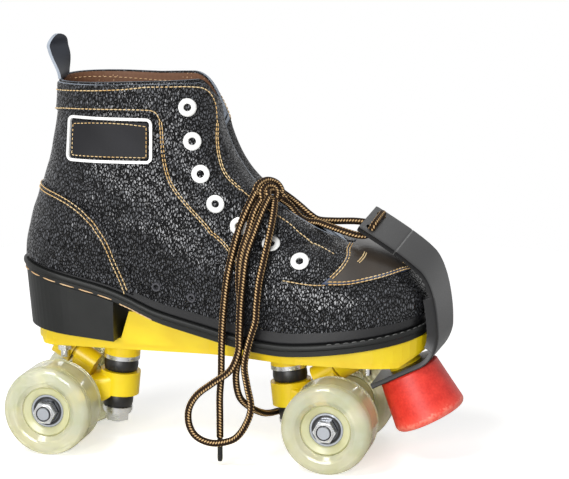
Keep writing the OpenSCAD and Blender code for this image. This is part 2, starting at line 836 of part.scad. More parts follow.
// Lace: hand-chosen points, X from midway between the axles
bow_points = [
    [49, -21.5, 171], [46.5, -30.5, 163], [43, -37, 151], [39.5, -43.5, 137], [38, -46.5, 121],
    [37, -48.5, 105], [37, -51.5, 88], [36.5, -52.5, 77], [31.5, -53.5, 65], [20, -53.5, 56],
    [10, -53.5, 48], [4.5, -53.5, 39], [4, -53.5, 29], [8, -53.5, 21], [16, -53.5, 17],
    [25, -53.5, 17], [35, -53.5, 21], [42, -53.5, 31], [45, -53.5, 42], [42.5, -53, 55],
    [40.5, -52.5, 67], [42, -51.5, 78], [44.5, -50.5, 88], [47, -49.5, 97], [47.5, -48.5, 107],
    [48.5, -46, 121], [50.5, -42, 134], [52.5, -35, 149], [53, -26, 161], [52, -18, 169]
];
near_tail_points = [
    [40.5, -22, 174.5], [37, -30, 165], [33, -34, 153.5], [30, -38, 140], [27, -42, 123],
    [25, -43.5, 104], [24, -45, 86], [24, -46.5, 74], [24, -47.5, 60], [23, -47.5, 46],
    [23, -47.5, 32], [23, -47.5, 19]
];
far_tail_points = [
    [44.5, -21, 170.5], [41.5, -30, 163], [38.5, -35, 150], [35.3, -41, 136], [34.8, -43.4, 120],
    [36, -43.5, 103], [36, -46, 86], [35, -46, 72], [33, -45, 58], [34.5, -42, 45],
    [39, -33, 36], [43.5, -20, 29], [46, -6, 25], [49, 7, 23], [57, 14, 22],
    [65, 15, 18.5], [69.5, 15, 14]
];
strap_run_points = [
    [54, -10.5, 169], [58.5, -5, 164], [62.5, -3.8, 158.5], [66.5, -3.8, 154.8], [71.5, -4, 153.2],
    [77.5, -4.4, 153], [84, -7.5, 151.9], [95, -10.7, 149.4], [104, -10.7, 147.2], [110, -9.8, 147.3],
    [112.6, -9.3, 150.5], [114.2, -8, 153.7], [115.4, -3, 155.8], [115.8, 3, 156.8], [116.4, 9.5, 158],
    [115.6, 13, 155.9], [112.6, 13.6, 152], [107, 12.8, 151.2], [98, 10, 152.2], [86, 6.5, 152.4],
    [76, 3.8, 153.2], [70.5, 2.2, 156.6], [65, 2.5, 161], [59, 1.5, 166], [52.5, -4.5, 172.5]
];
// Knot, as ball centres with a radius
knot_balls = [
    [42.5, -19.5, 175.5, 3.5], [45, -12, 178, 4], [51, -6, 174.5, 4], [55, -10, 170, 3.5], [49, -19, 172, 4]
];
near_aglet = [[23, -47.5, 19], [23, -47.5, 3.5]];
far_aglet = [[69.5, 15, 14], [72, 15, 3.5]];

module lace_stretch(points) {
    color("#3a2a1c") tube(points, lace_d);
}
module lace_knot() {
    color("#3a2a1c") hull()
        for (b = knot_balls)
            translate([b[0], b[1], b[2]]) sphere(r = b[3], $fn = 16);
}
module lace_bow() { lace_stretch(bow_points); }
module lace_near_tail() { lace_stretch(near_tail_points); }
module lace_far_tail() { lace_stretch(far_tail_points); }
module lace_strap_run() { lace_stretch(strap_run_points); }
module lace_aglets() {
    color("#0f0f10") {
        tube(near_aglet, aglet_d);
        tube(far_aglet, aglet_d);
    }
}

// Chassis

plate_front_x = stop_top_x + 15;
plate_back_x = heel_x + 7;
plate_flank_x = stop_top_x - 26;
plate_rise_x = stop_top_x - 2;
function plate_half(x) =
    mix(plate_rear_half, plate_front_half, smooth((x - heel_x - 126)/70))
    *round_end((x - plate_back_x)/18, 2)
    *round_end((plate_front_x - x)/(plate_front_x - plate_flank_x), 2);
function plate_outline(inset) =
    let (right = [
        for (i = [0:40])
            let (x = mix(plate_back_x + inset, plate_front_x - inset, (1 - cos(180*i/40))/2))
            [x, -max(0.5, plate_half(x) - inset)]
    ])
    concat(right, [for (p = reverse(right)) [p.x, -p.y]]);
arch_x = breast_x + 7;
plate_top = concat(
    [
        [plate_back_x - 1, pad(plate_back_x - 1)],
        [breast_x + 1.5, pad(breast_x + 1.5)],
        [arch_x, pad_z + arch_h]
    ],
    [
        for (i = [0:upper_cols/2])
            let (x = sole_x(i))
            if (x > arch_x + 1)
                [x, min(pad_z + arch_h, feather(x) - sole_t - seat/2)]
    ]
);
plate_ledge_z = plate_z + 4;
stop_boss_r = 11;
bolt_y = 14.3;
bolt_spots = [
    [-axle_x + 0.3, right_side*bolt_y], [-axle_x - 16.3, left_side*bolt_y],
    [axle_x + 19.3, right_side*bolt_y], [axle_x - 0.7, left_side*bolt_y]
];
bolt_nut_af = 8;
bolt_nut_h = 4;
bolt_below = 9;
bolt_above = 6;

module plate() {
    under = [
        [plate_front_x + 1, plate_z + 18],
        [plate_front_x - 1, plate_z + 10],
        [plate_rise_x, plate_z],
        [plate_back_x + 6.3, plate_z],
        [plate_back_x - 1, pad(plate_back_x - 1) - 0.5]
    ];
    ledge = [
        [plate_front_x + 1, plate_z + 18.5],
        [plate_front_x + 1, plate_z + 12.5],
        [plate_rise_x + 3, plate_ledge_z],
        [plate_back_x - 1, plate_ledge_z]
    ];
    color("#f2c400") difference() {
        union() {
            intersection() {
                linear_extrude(collar_z) polygon(plate_outline(plate_step));
                side_prism(concat(plate_top, under), 4*ball_half);
            }
            intersection() {
                linear_extrude(collar_z) polygon(plate_outline(0));
                side_prism(concat(plate_top, ledge), 4*ball_half);
            }
            for (end = [front_end, rear_end]) at_end(end) {
                on_kingpin() translate([0, 0, boss_base])
                    cylinder(r = kingpin_boss_r, h = (plate_z + 4 - ring_z)/cos(kingpin_lean) - boss_base);
                on_pivot() translate([0, 0, arm_end + cup_gap])
                    cylinder(r = pivot_boss_r, h = pivot_boss_len);
            }
            on_stop() translate([0, 0, strap_t + seat]) cylinder(r = stop_boss_r, h = 9);
        }
        for (end = [front_end, rear_end]) at_end(end) {
            on_kingpin() translate([0, 0, boss_base - 1])
                cylinder(r = kingpin_d/2 + slip, h = kingpin_top - boss_base + 1.2);
            on_pivot() translate([0, 0, arm_end])
                cylinder(r = pivot_d/2 + cup_wall + slip, h = cup_gap + cup_len + slip);
        }
        for (spot = bolt_spots)
            translate([spot.x, spot.y, plate_z - 1]) cylinder(d = bolt_d + 2*slip, h = bolt_above + 1.2);
        on_stop() cylinder(d = stop_bolt_d + 2*slip, h = strap_t + 9);
    }
}
module plate_bolts() {
    color("#c9ccd0")
        for (spot = bolt_spots)
            translate([spot.x, spot.y, plate_z - bolt_below])
                cylinder(d = bolt_d, h = bolt_below + bolt_above);
}
module plate_nuts() {
    color("#c9ccd0")
        for (spot = bolt_spots)
            translate([spot.x, spot.y, plate_z - bolt_nut_h]) difference() {
                hexagon(bolt_nut_af, bolt_nut_h);
                translate([0, 0, -1]) cylinder(d = bolt_d + 2*slip, h = bolt_nut_h + 2);
            }
}

// The strap is clamped between the toe stop and the plate, wraps the toe and ends in the air above
// the vamp, where the lace holds it. A backing doubles it in front of the toe.
strap_clamp = [-22, 11.5];
strap_gap = 0.4;
strap_mid = strap_t/2 + seat/2;
strap_front_x = max(toe_x + lip_out, plate_front_x) + strap_gap + strap_back_t + strap_t/2;
function strap_plane(t) =
    let (d = mix(strap_clamp[0], strap_clamp[1], t))
    [
        stop_top_x + d*cos(stop_lean) - strap_mid*sin(stop_lean),
        stop_top_z + d*sin(stop_lean) + strap_mid*cos(stop_lean)
    ];
strap_turn_start = strap_plane(1);
strap_turn = [
    strap_turn_start,
    strap_turn_start + 8*[cos(stop_lean), sin(stop_lean)],
    [strap_front_x + 1.2, toe_z - 16],
    [strap_front_x + 1.2, toe_z - 6]
];
strap_rise = [
    strap_turn[3],
    [strap_front_x + 0.4, toe_z + 10],
    [toe_x + 8, toe_z + 28],
    [toe_x, toe_z + 37]
];
strap_free = [
    strap_rise[3],
    [toe_x - 9, toe_z + 45.5],
    [toe_x - 24.5, toe_z + 55],
    [toe_x - 39.5, toe_z + 63.7]
];
function strap_xz(t) =
    t <= 1 ? strap_plane(t)
    : t <= 2 ? bezier(strap_turn, t - 1)
    : t <= 3 ? bezier(strap_rise, t - 2)
    : bezier(strap_free, t - 3);
strap_hole_t = 3.877;
strap_hole_y = 11.5;
strap_aside = 2;
strap_yaw = 0.11;
strap_tip = 0.18;
function strap_centre(t) = let (p = strap_xz(t)) [p.x, strap_aside*smooth(t - 1), p.y];
function strap_across(t) = unit([strap_yaw*smooth(t - 1), 1, strap_tip*smooth(t - 2.2)]);
function strap_along(t) = unit(strap_centre(min(4, t + 0.02)) - strap_centre(max(0, t - 0.02)));
function strap_up(t) = unit(cross(strap_along(t), strap_across(t)));
function strap_point(t, side, w, lift) = strap_centre(t) + side*w/2*strap_across(t) + lift*strap_up(t);
strap_back = [1.9, 2.5];
strap_step = 0.02;
strap_stations = concat(
    [for (j = [0:16]) mix(0, strap_back[0] - strap_step, j/16)],
    [for (j = [0:8]) mix(strap_back[0], strap_back[1], j/8)],
    [for (j = [0:16]) mix(strap_back[1] + strap_step, 4, j/16)]
);
function backing(t) =
    t > strap_back[0] - strap_step/2 && t < strap_back[1] + strap_step/2 ? strap_back_t : 0;
function strap_face(lift, backed) = [
    for (t = strap_stations)
        [
            for (side = [right_side, 0, left_side])
                strap_point(t, side, strap_w, lift + (backed ? backing(t) : 0))
        ]
];
module toe_strap() {
    color("#2c2d2f") difference() {
        sheet(strap_face(strap_t/2, true), strap_face(-strap_t/2, false));
        on_stop() cylinder(d = stop_bolt_d + 4*slip, h = strap_t + 1);
        for (side = [right_side, left_side])
            translate(strap_point(strap_hole_t, side, 2*strap_hole_y, 0))
                rotate([0, 35, 0]) cylinder(d = lace_d + 2, h = 16, center = true, $fn = 12);
    }
}

module toe_stop() {
    arc = [
        for (a = [0:15:90])
            [stop_face_d/2 - stop_round + stop_round*sin(a), -stop_h + stop_round - stop_round*cos(a)]
    ];
    color("#d8262c") on_stop() rotate_extrude() polygon(concat(
        [
            [stop_bolt_d/2 + 2*slip, 0],
            [stop_bolt_d/2 + 2*slip, stop_well_z],
            [stop_well_r, stop_well_z],
            [stop_well_r, -stop_h]
        ],
        arc,
        [[stop_top_d/2, -1], [stop_top_d/2 - 1, 0]]
    ));
}
module toe_stop_bolt() {
    color("#b9bcc0") on_stop() union() {
        translate([0, 0, stop_well_z - stop_bolt_head_h - slip])
            hexagon(2*stop_bolt_head_r*cos(30), stop_bolt_head_h);
        translate([0, 0, stop_well_z - 1]) cylinder(d = stop_bolt_d, h = strap_t + 8 - stop_well_z);
    }
}

// Fixed pieces of a truck
module kingpin(end) {
    color("#c4c7cb") at_end(end) on_kingpin()
        translate([0, 0, kingpin_tip]) cylinder(d = kingpin_d, h = kingpin_top - kingpin_tip);
}
module kingpin_nut(end) {
    color("#d2d5d9") at_end(end) on_kingpin() translate([0, 0, kingpin_nut_base]) difference() {
        union() {
            hexagon(kingpin_nut_af, kingpin_nut_h);
            translate([0, 0, kingpin_nut_h - 1.6]) cylinder(r = lower_washer_r - 0.8, h = 1.6);
        }
        translate([0, 0, -1]) cylinder(r = kingpin_d/2 + slip, h = kingpin_nut_h + 2);
    }
}
module cushion_washers(end) {
    color("#d2d5d9") at_end(end) on_kingpin() {
        translate([0, 0, upper_washer_base]) ring(upper_washer_r, kingpin_d/2 + slip, washer_t);
        translate([0, 0, lower_washer_base]) ring(lower_washer_r, kingpin_d/2 + slip, washer_t);
    }
}
cushion_bulge = 0.6;
module cushion(r, h) {
    rotate_extrude() polygon(concat(
        [[kingpin_d/2 + slip, 0]],
        [for (k = [0:6]) [r - cushion_bulge + cushion_bulge*sin(180*k/6), h*k/6]],
        [[kingpin_d/2 + slip, h]]
    ));
}
module upper_cushion(end) {
    color("#1a1a1b") at_end(end) on_kingpin()
        translate([0, 0, upper_cushion_base]) cushion(upper_cushion_r, upper_cushion_h);
}
module lower_cushion(end) {
    color("#1a1a1b") at_end(end) on_kingpin()
        translate([0, 0, lower_cushion_base]) cushion(lower_cushion_r, lower_cushion_h);
}
module pivot_cup(end) {
    color("#1a1a1b") at_end(end) on_pivot() translate([0, 0, arm_end + cup_gap]) difference() {
        cylinder(r = pivot_d/2 + cup_wall, h = cup_len);
        translate([0, 0, -1]) cylinder(r = pivot_d/2 + slip, h = pin_len + 1);
    }
}

// Moving pieces of a truck
module hanger(end) {
    color("#f2c400") at_end(end) difference() {
        union() {
            on_kingpin() translate([0, 0, -ring_h/2]) cylinder(r = ring_r, h = ring_h);
            hull() {
                on_kingpin() translate([0, 0, 2 - ring_h/2])
                    cylinder(r = ring_r - 1, h = ring_h - 5, $fn = 32);
                translate([axle_x, 0, axle_z]) across()
                    cylinder(r = axle_tube_r - 0.5, h = 2*axle_tube_half - 3, center = true, $fn = 32);
            }
            translate([axle_x, 0, axle_z]) across() {
                cylinder(r = axle_tube_r, h = 2*axle_tube_half, center = true);
                cylinder(r = axle_neck_r, h = 2*axle_neck_half, center = true);
            }
            hull() {
                on_pivot() translate([0, 0, arm_start + 1])
                    cylinder(r = arm_r - 0.5, h = arm_end - arm_start - 2, $fn = 32);
                translate([axle_x, 0, axle_z]) across()
                    cylinder(r = axle_tube_r - 0.5, h = 20, center = true, $fn = 32);
            }
            on_pivot() translate([0, 0, arm_start]) cylinder(r = arm_r, h = arm_end - arm_start);
            on_pivot() translate([0, 0, arm_end - 1]) cylinder(d = pivot_d, h = cup_gap + pin_len);
        }
        on_kingpin() cylinder(r = ring_bore_r, h = 2*ring_h, center = true);
        on_kingpin() translate([0, 0, -ring_h/2 - 2*ring_h])
            cylinder(r = lower_cushion_r + hanger_relief, h = 2*ring_h);
        translate([axle_x, 0, axle_z]) across()
            cylinder(d = axle_d + 2*slip, h = 2*axle_half, center = true);
    }
}
module axle(end) {
    color("#c4c7cb") translate([end*axle_x, 0, axle_z]) across()
        cylinder(d = axle_d, h = 2*axle_half, center = true);
}
module axle_nuts(end) {
    color("#d2d5d9")
        for (side = [right_side, left_side])
            translate([end*axle_x, side*(wheel_y + bearing_out + thin_washer_t + nut_h/2), axle_z]) across()
                difference() {
                    translate([0, 0, -nut_h/2]) hexagon(nut_af, nut_h);
                    cylinder(d = axle_d + 2*slip, h = nut_h + 2, center = true);
                }
}
// Inner races, the spacer between them and a thin washer at each end, all clamped on the axle
module inner_races(end) {
    bore = axle_d/2 + slip;
    color("#b4b8bd")
        for (side = [right_side, left_side]) at_wheel(end, side) {
            for (face = [bearing_in, -bearing_out])
                translate([0, 0, face]) ring(race_in_r, bore, bearing_w);
            translate([0, 0, -bearing_in]) ring(race_in_r - 0.7, bore, 2*bearing_in);
            for (face = [bearing_out, -bearing_out - thin_washer_t])
                translate([0, 0, face]) ring(race_in_r - 0.3, bore, thin_washer_t);
        }
}

// Pieces of a wheel
groove_w = 1.2;
groove_h = 0.8;
module tyre(end, side) {
    half = wheel_w/2;
    shoulder = [
        for (a = [90:-15:15])
            [wheel_r - shoulder_r + shoulder_r*cos(a), half - shoulder_r + shoulder_r*sin(a)]
    ];
    grooves = [
        for (y = [half - shoulder_r, half - shoulder_r - 2.4])
            each [
                [wheel_r, y], [wheel_r - groove_h, y - 0.3],
                [wheel_r - groove_h, y - groove_w], [wheel_r, y - groove_w]
            ]
    ];
    outer = concat(
        [
            [core_r + slip, half - face_dish],
            [core_r + face_dish, half - 0.4],
            [core_r + face_dish + 1.5, half]
        ],
        shoulder, grooves
    );
    lower = [for (p = reverse(outer)) [p.x, -p.y]];
    color("#dfe6b8", 0.8) at_wheel(end, side) rotate_extrude($fn = 96) polygon(concat(outer, lower));
}
module hub(end, side) {
    half = wheel_w/2 - face_dish - 0.5;
    seat_r = bearing_d/2 + 0.02;
    web_r = race_out_r - 0.4;
    quarter = [
        [web_r, bearing_in - 0.02], [seat_r, bearing_in - 0.02], [seat_r, bearing_out + 0.5],
        [seat_r + 1, bearing_out + 1.2], [core_r - 1, half], [core_r, half - 1]
    ];
    color("#d9df9a") at_wheel(end, side) rotate_extrude()
        polygon(concat(quarter, [for (p = reverse(quarter)) [p.x, -p.y]]));
}
// Outer races with their shields, and the balls
shield_t = 0.5;
module bearings(end, side) {
    mid_r = (race_in_r + race_out_r)/2;
    color("#8f9499") at_wheel(end, side)
        for (face = [bearing_in, -bearing_out]) translate([0, 0, face]) {
            rotate_extrude() polygon([
                [bearing_d/2, 0], [bearing_d/2, bearing_w], [race_in_r + 0.4, bearing_w],
                [race_in_r + 0.4, bearing_w - shield_t], [race_out_r, bearing_w - shield_t],
                [race_out_r, shield_t], [race_in_r + 0.4, shield_t], [race_in_r + 0.4, 0]
            ]);
            for (k = [0:ball_count - 1])
                rotate([0, 0, 360*k/ball_count]) translate([mid_r, 0, bearing_w/2])
                    sphere(r = ball_r, $fn = 24);
        }
}

placed() upper();
placed() lining();
placed() tongue();
placed() insole();
placed() outsole();
placed() heel_block();
placed() heel_counter();
placed() collar_band();
placed() eyestay_right();
placed() eyestay_left();
placed() vamp_patch();
placed() pull_tab();
placed() side_patch();
placed() side_patch_frame();
placed() eyelets();
placed() vent_eyelets();
placed() lace_knot();
placed() lace_bow();
placed() lace_near_tail();
placed() lace_far_tail();
placed() lace_strap_run();
placed() lace_aglets();
placed() plate();
placed() plate_bolts();
placed() plate_nuts();
placed() toe_strap();
placed() toe_stop();
placed() toe_stop_bolt();
placed() kingpin(front_end);  // front_kingpin
placed() kingpin_nut(front_end);  // front_kingpin_nut
placed() cushion_washers(front_end);  // front_cushion_washers
placed() upper_cushion(front_end);  // front_upper_cushion
placed() lower_cushion(front_end);  // front_lower_cushion
placed() pivot_cup(front_end);  // front_pivot_cup
placed() kingpin(rear_end);  // rear_kingpin
placed() kingpin_nut(rear_end);  // rear_kingpin_nut
placed() cushion_washers(rear_end);  // rear_cushion_washers
placed() upper_cushion(rear_end);  // rear_upper_cushion
placed() lower_cushion(rear_end);  // rear_lower_cushion
placed() pivot_cup(rear_end);  // rear_pivot_cup
placed() hanger(front_end);  // front_hanger
placed() axle(front_end);  // front_axle
placed() axle_nuts(front_end);  // front_axle_nuts
placed() inner_races(front_end);  // front_inner_races
placed() hanger(rear_end);  // rear_hanger
placed() axle(rear_end);  // rear_axle
placed() axle_nuts(rear_end);  // rear_axle_nuts
placed() inner_races(rear_end);  // rear_inner_races
placed() tyre(front_end, right_side);  // front_right_tyre
placed() hub(front_end, right_side);  // front_right_hub
placed() bearings(front_end, right_side);  // front_right_bearings
placed() tyre(front_end, left_side);  // front_left_tyre
placed() hub(front_end, left_side);  // front_left_hub
placed() bearings(front_end, left_side);  // front_left_bearings
placed() tyre(rear_end, right_side);  // rear_right_tyre
placed() hub(rear_end, right_side);  // rear_right_hub
placed() bearings(rear_end, right_side);  // rear_right_bearings
placed() tyre(rear_end, left_side);  // rear_left_tyre
placed() hub(rear_end, left_side);  // rear_left_hub
placed() bearings(rear_end, left_side);  // rear_left_bearings
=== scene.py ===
import json
import math

import bpy
import numpy as np
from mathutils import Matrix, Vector

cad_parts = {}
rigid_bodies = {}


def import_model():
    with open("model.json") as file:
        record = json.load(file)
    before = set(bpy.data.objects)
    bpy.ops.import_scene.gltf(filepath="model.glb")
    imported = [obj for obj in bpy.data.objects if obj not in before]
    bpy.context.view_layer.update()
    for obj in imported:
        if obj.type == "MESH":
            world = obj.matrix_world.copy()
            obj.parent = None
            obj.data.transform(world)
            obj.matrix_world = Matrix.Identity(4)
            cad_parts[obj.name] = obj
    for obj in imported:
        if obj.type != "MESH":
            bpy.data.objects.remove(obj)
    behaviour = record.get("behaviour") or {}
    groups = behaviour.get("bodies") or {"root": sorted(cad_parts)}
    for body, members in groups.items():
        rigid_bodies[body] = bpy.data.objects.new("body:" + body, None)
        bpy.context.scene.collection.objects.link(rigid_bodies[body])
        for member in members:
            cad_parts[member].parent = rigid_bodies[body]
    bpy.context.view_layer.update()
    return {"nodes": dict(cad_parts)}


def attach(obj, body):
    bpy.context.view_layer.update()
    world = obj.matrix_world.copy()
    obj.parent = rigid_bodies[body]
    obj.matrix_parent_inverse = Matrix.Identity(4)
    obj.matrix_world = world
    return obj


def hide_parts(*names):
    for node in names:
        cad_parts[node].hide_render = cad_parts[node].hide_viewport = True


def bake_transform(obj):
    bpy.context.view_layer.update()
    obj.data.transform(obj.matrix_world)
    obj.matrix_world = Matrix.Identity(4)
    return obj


for old in list(bpy.data.objects):
    bpy.data.objects.remove(old)

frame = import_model()
cadNodes = frame["nodes"]
midShift = 24.5969  # mm from midway between the axles to the frame's origin
print("frame loaded")


def toFrame(points):  # millimetres from midway between the axles -> metres in the frame
    return (np.asarray(points, float) - (midShift, 0, 0))/1000


def hexLinear(code):
    rgb = [int(code[i:i + 2], 16)/255 for i in (1, 3, 5)]
    return tuple(c/12.92 if c <= 0.04045 else ((c + 0.055)/1.055)**2.4 for c in rgb) + (1,)


def addNode(tree, kind, settings=None, inputs=None, into=None):
    node = tree.nodes.new(kind)
    for name, value in (settings or {}).items():
        if name == "stops":
            while len(node.color_ramp.elements) < len(value):
                node.color_ramp.elements.new(0.5)
            for element, (at, code) in zip(node.color_ramp.elements, value):
                element.position, element.color = at, hexLinear(code)
        else:
            setattr(node, name, value)
    for name, value in (inputs or {}).items():
        if isinstance(value, bpy.types.Node):  # a node stands for its first output
            value = value.outputs[0]
        if isinstance(value, bpy.types.NodeSocket):
            tree.links.new(value, node.inputs[name])
        else:
            node.inputs[name].default_value = value
    if into:
        tree.links.new(node.outputs[0], into)
    return node


# camera, at the photograph's angle and distance
cameraFit = {"azimuth": 13.464, "elevation": 11.241, "distance": 1335.2, "target": (53.98, 0, 139.92),
             "focalPixels": 2067.3, "framePixels": 569, "sensor": 36}
turn, rise = math.radians(cameraFit["azimuth"]), math.radians(cameraFit["elevation"])
backward = Vector((math.sin(turn)*math.cos(rise), -math.cos(turn)*math.cos(rise), math.sin(rise)))
cameraData = bpy.data.cameras.new("camera")
cameraData.sensor_width = cameraFit["sensor"]
cameraData.lens = cameraFit["focalPixels"]/cameraFit["framePixels"]*cameraFit["sensor"]
camera = bpy.data.objects.new("camera", cameraData)
camera.location = Vector(toFrame(cameraFit["target"])) + backward*cameraFit["distance"]/1000
camera.rotation_mode = "QUATERNION"
camera.rotation_quaternion = (-backward).to_track_quat("-Z", "Y")
bpy.context.scene.collection.objects.link(camera)
bpy.context.scene.camera = camera
bpy.context.scene.view_settings.view_transform = "Standard"


# meshes

def makePiece(name, points, faces, material, body="boot", replaces=(), slot=None, crease=None, finishes=None):
    mesh = bpy.data.meshes.new(name)
    mesh.from_pydata(toFrame(points).reshape(-1, 3).tolist(), [], faces)
    for one in material if isinstance(material, (list, tuple)) else [material]:
        mesh.materials.append(one)
    mesh.polygons.foreach_set("use_smooth", [True]*len(mesh.polygons))
    if finishes is not None:  # which of the materials each face has
        mesh.polygons.foreach_set("material_index", np.asarray(finishes, int).tolist())
    if crease:
        mesh.set_sharp_from_angle(angle=math.radians(crease))
    mesh.update()
    piece = bpy.data.objects.new(name, mesh)
    bpy.context.scene.collection.objects.link(piece)
    if body:
        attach(piece, body)
    if replaces:
        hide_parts(*replaces)
    return piece


def gridFaces(rows, cols, start=0, flip=False, wrap=False):
    faces = []
    for j in range(rows - 1):
        for i in range(cols if wrap else cols - 1):
            a, b = start + j*cols + i, start + j*cols + (i + 1) % cols
            face = (a, a + cols, b + cols, b)
            faces.append(face[::-1] if flip else face)
    return faces


def runAlong(line):  # distance along a line at each of its points
    return np.concatenate([[0], np.cumsum(np.linalg.norm(np.diff(line, axis=0), axis=1))])


def evenly(line, step=None, count=None):  # the same line in even steps
    line = np.asarray(line, float)
    run = runAlong(line)
    at = np.linspace(0, run[-1], count or max(2, int(round(run[-1]/step)) + 1))
    return np.stack([np.interp(at, run, line[:, k]) for k in range(line.shape[1])], 1)


def smoothLine(points, step):  # curve through the points, cut to even steps
    p = np.asarray(points, float)
    ext = np.vstack([2*p[0] - p[1], p, 2*p[-1] - p[-2]])
    t = np.linspace(0, 1, 16, endpoint=False)[:, None]
    parts = []
    for a, b, c, d in zip(ext[:-3], ext[1:-2], ext[2:-1], ext[3:]):
        parts.append(0.5*(2*b + (c - a)*t + (2*a - 5*b + 4*c - d)*t*t + (3*b - a - 3*c + d)*t**3))
    return evenly(np.vstack(parts + [p[-1:]]), step)


def unit(v):
    return v/np.maximum(np.linalg.norm(v, axis=-1, keepdims=True), 1e-9)


def tubeMesh(line, radius, sides):  # points and faces of a tube with low domed ends
    line = np.asarray(line, float)
    radius = np.broadcast_to(np.asarray(radius, float), (len(line),))
    tangent = unit(np.gradient(line, axis=0))
    side = np.cross(tangent[0], (0, 0, 1) if abs(tangent[0][2]) < 0.9 else (1, 0, 0))
    rings, around = [], 2*np.pi*np.arange(sides)/sides
    for p, t, r in zip(line, tangent, radius):
        side = unit(side - t*(side@t))
        up = np.cross(t, side)
        rings.append(p + r*(np.cos(around)[:, None]*side + np.sin(around)[:, None]*up))
    points = np.vstack(rings + [line[:1] - tangent[0]*radius[0]*0.3, line[-1:] + tangent[-1]*radius[-1]*0.3])
    faces = gridFaces(len(line), sides, flip=True, wrap=True)
    first, last, base = len(points) - 2, len(points) - 1, (len(line) - 1)*sides
    faces += [(first, (k + 1) % sides, k) for k in range(sides)]
    faces += [(last, base + k, base + (k + 1) % sides) for k in range(sides)]
    return points, faces


def joinMesh(points, faces, own, mine):  # adds one mesh's points and faces to the lists
    faces += [tuple(i + len(points) for i in face) for face in mine]
    points += own.tolist()


# leather, rubber, nylon and the rest

def newMaterial(name, colour, roughness, **sockets):
    material = bpy.data.materials.new(name)
    material.use_nodes = True
    tree = material.node_tree
    shader = tree.nodes["Principled BSDF"]
    shader.inputs["Base Color"].default_value = hexLinear(colour)
    shader.inputs["Roughness"].default_value = roughness
    for socket, value in sockets.items():
        shader.inputs[socket.replace("_", " ")].default_value = value
    material.diffuse_color = hexLinear(colour)
    return material, tree, shader


def perMetre(millimetres):
    return 1000/millimetres


def tumbledLeather(name, stops, grainMm, roughness, depthMm):
    # drummed cowhide: rounded pebbles, longer than wide, glossier on the crests; crests painted lighter (painted
    # highlight), creases painted near black and their reflection tinted down (painted shade)
    material, tree, shader = newMaterial(name, stops[1][1], roughness, Specular_IOR_Level=0.5)
    place = addNode(tree, "ShaderNodeTexCoord").outputs["Object"]
    stretch = addNode(tree, "ShaderNodeMapping", None,
                      {"Vector": place, "Rotation": (0, 0.4, 0), "Scale": (1.3, 1, 0.66)})
    wobble = addNode(tree, "ShaderNodeTexNoise", None,
                     {"Vector": stretch, "Scale": perMetre(6), "Detail": 2.0})
    shift = addNode(tree, "ShaderNodeVectorMath", {"operation": "SCALE"},
                    {0: wobble.outputs["Color"], "Scale": 0.003})
    where = addNode(tree, "ShaderNodeVectorMath", {"operation": "ADD"}, {0: stretch, 1: shift})
    pebble = addNode(tree, "ShaderNodeTexVoronoi", {"feature": "DISTANCE_TO_EDGE"},
                     {"Vector": where, "Scale": perMetre(grainMm), "Randomness": 0.85})
    top = addNode(tree, "ShaderNodeMapRange", {"interpolation_type": "SMOOTHSTEP"},
                  {"Value": pebble, "From Max": 0.17})
    paintedShadeAndHighlight = addNode(tree, "ShaderNodeMapRange", None, {"Value": pebble, "From Max": 0.4})
    # painted highlight on each pebble's crest, painted shade in the creases
    addNode(tree, "ShaderNodeValToRGB", {"stops": stops}, {"Fac": paintedShadeAndHighlight}, shader.inputs["Base Color"])
    # reflection dimmed in the creases: painted shade
    addNode(tree, "ShaderNodeValToRGB", {"stops": [(0.0, "#383838"), (0.35, "#ffffff")]}, {"Fac": paintedShadeAndHighlight},
            shader.inputs["Specular Tint"])
    roll = addNode(tree, "ShaderNodeTexNoise", None,
                   {"Vector": where, "Scale": perMetre(grainMm*1.6), "Detail": 1.0})
    height = addNode(tree, "ShaderNodeMath", {"operation": "MULTIPLY_ADD"},
                     {0: roll, 1: 1.6, 2: top})
    addNode(tree, "ShaderNodeBump", None,
            {"Height": height, "Strength": 1.0, "Distance": depthMm/1000}, shader.inputs["Normal"])
    addNode(tree, "ShaderNodeMapRange", None,
            {"Value": top, "To Min": roughness + 0.4, "To Max": roughness}, shader.inputs["Roughness"])
    return material


def plainFinish(name, light, dark, roughness, grainMm, depthMm, **sockets):
    # moulded, sprayed or smooth cut surface: slight clouding and a fine texture
    material, tree, shader = newMaterial(name, light, roughness, **sockets)
    place = addNode(tree, "ShaderNodeTexCoord").outputs["Object"]
    clouds = addNode(tree, "ShaderNodeTexNoise", None,
                     {"Vector": place, "Scale": perMetre(18), "Detail": 4.0})
    addNode(tree, "ShaderNodeValToRGB", {"stops": [(0.3, dark), (0.7, light)]}, {"Fac": clouds},
            shader.inputs["Base Color"])
    fine = addNode(tree, "ShaderNodeTexNoise", None,
                   {"Vector": place, "Scale": perMetre(grainMm), "Detail": 3.0})
    addNode(tree, "ShaderNodeBump", None,
            {"Height": fine, "Strength": 0.35, "Distance": depthMm/1000}, shader.inputs["Normal"])
    addNode(tree, "ShaderNodeMapRange", None,
            {"Value": fine, "To Min": roughness - 0.07, "To Max": roughness + 0.09},
            shader.inputs["Roughness"])
    return material


def turnedSteel(name, colour, roughness):
    # zinc-plated steel: bright, faintly streaked by the tool
    material, tree, shader = newMaterial(name, colour, roughness, Metallic=1.0)
    place = addNode(tree, "ShaderNodeTexCoord").outputs["Object"]
    stretch = addNode(tree, "ShaderNodeMapping", None, {"Vector": place, "Scale": (1, 1, 9)})
    streak = addNode(tree, "ShaderNodeTexNoise", None,
                     {"Vector": stretch, "Scale": perMetre(3), "Detail": 3.0})
    addNode(tree, "ShaderNodeMapRange", None,
            {"Value": streak, "To Min": roughness - 0.08, "To Max": roughness + 0.12},
            shader.inputs["Roughness"])
    return material


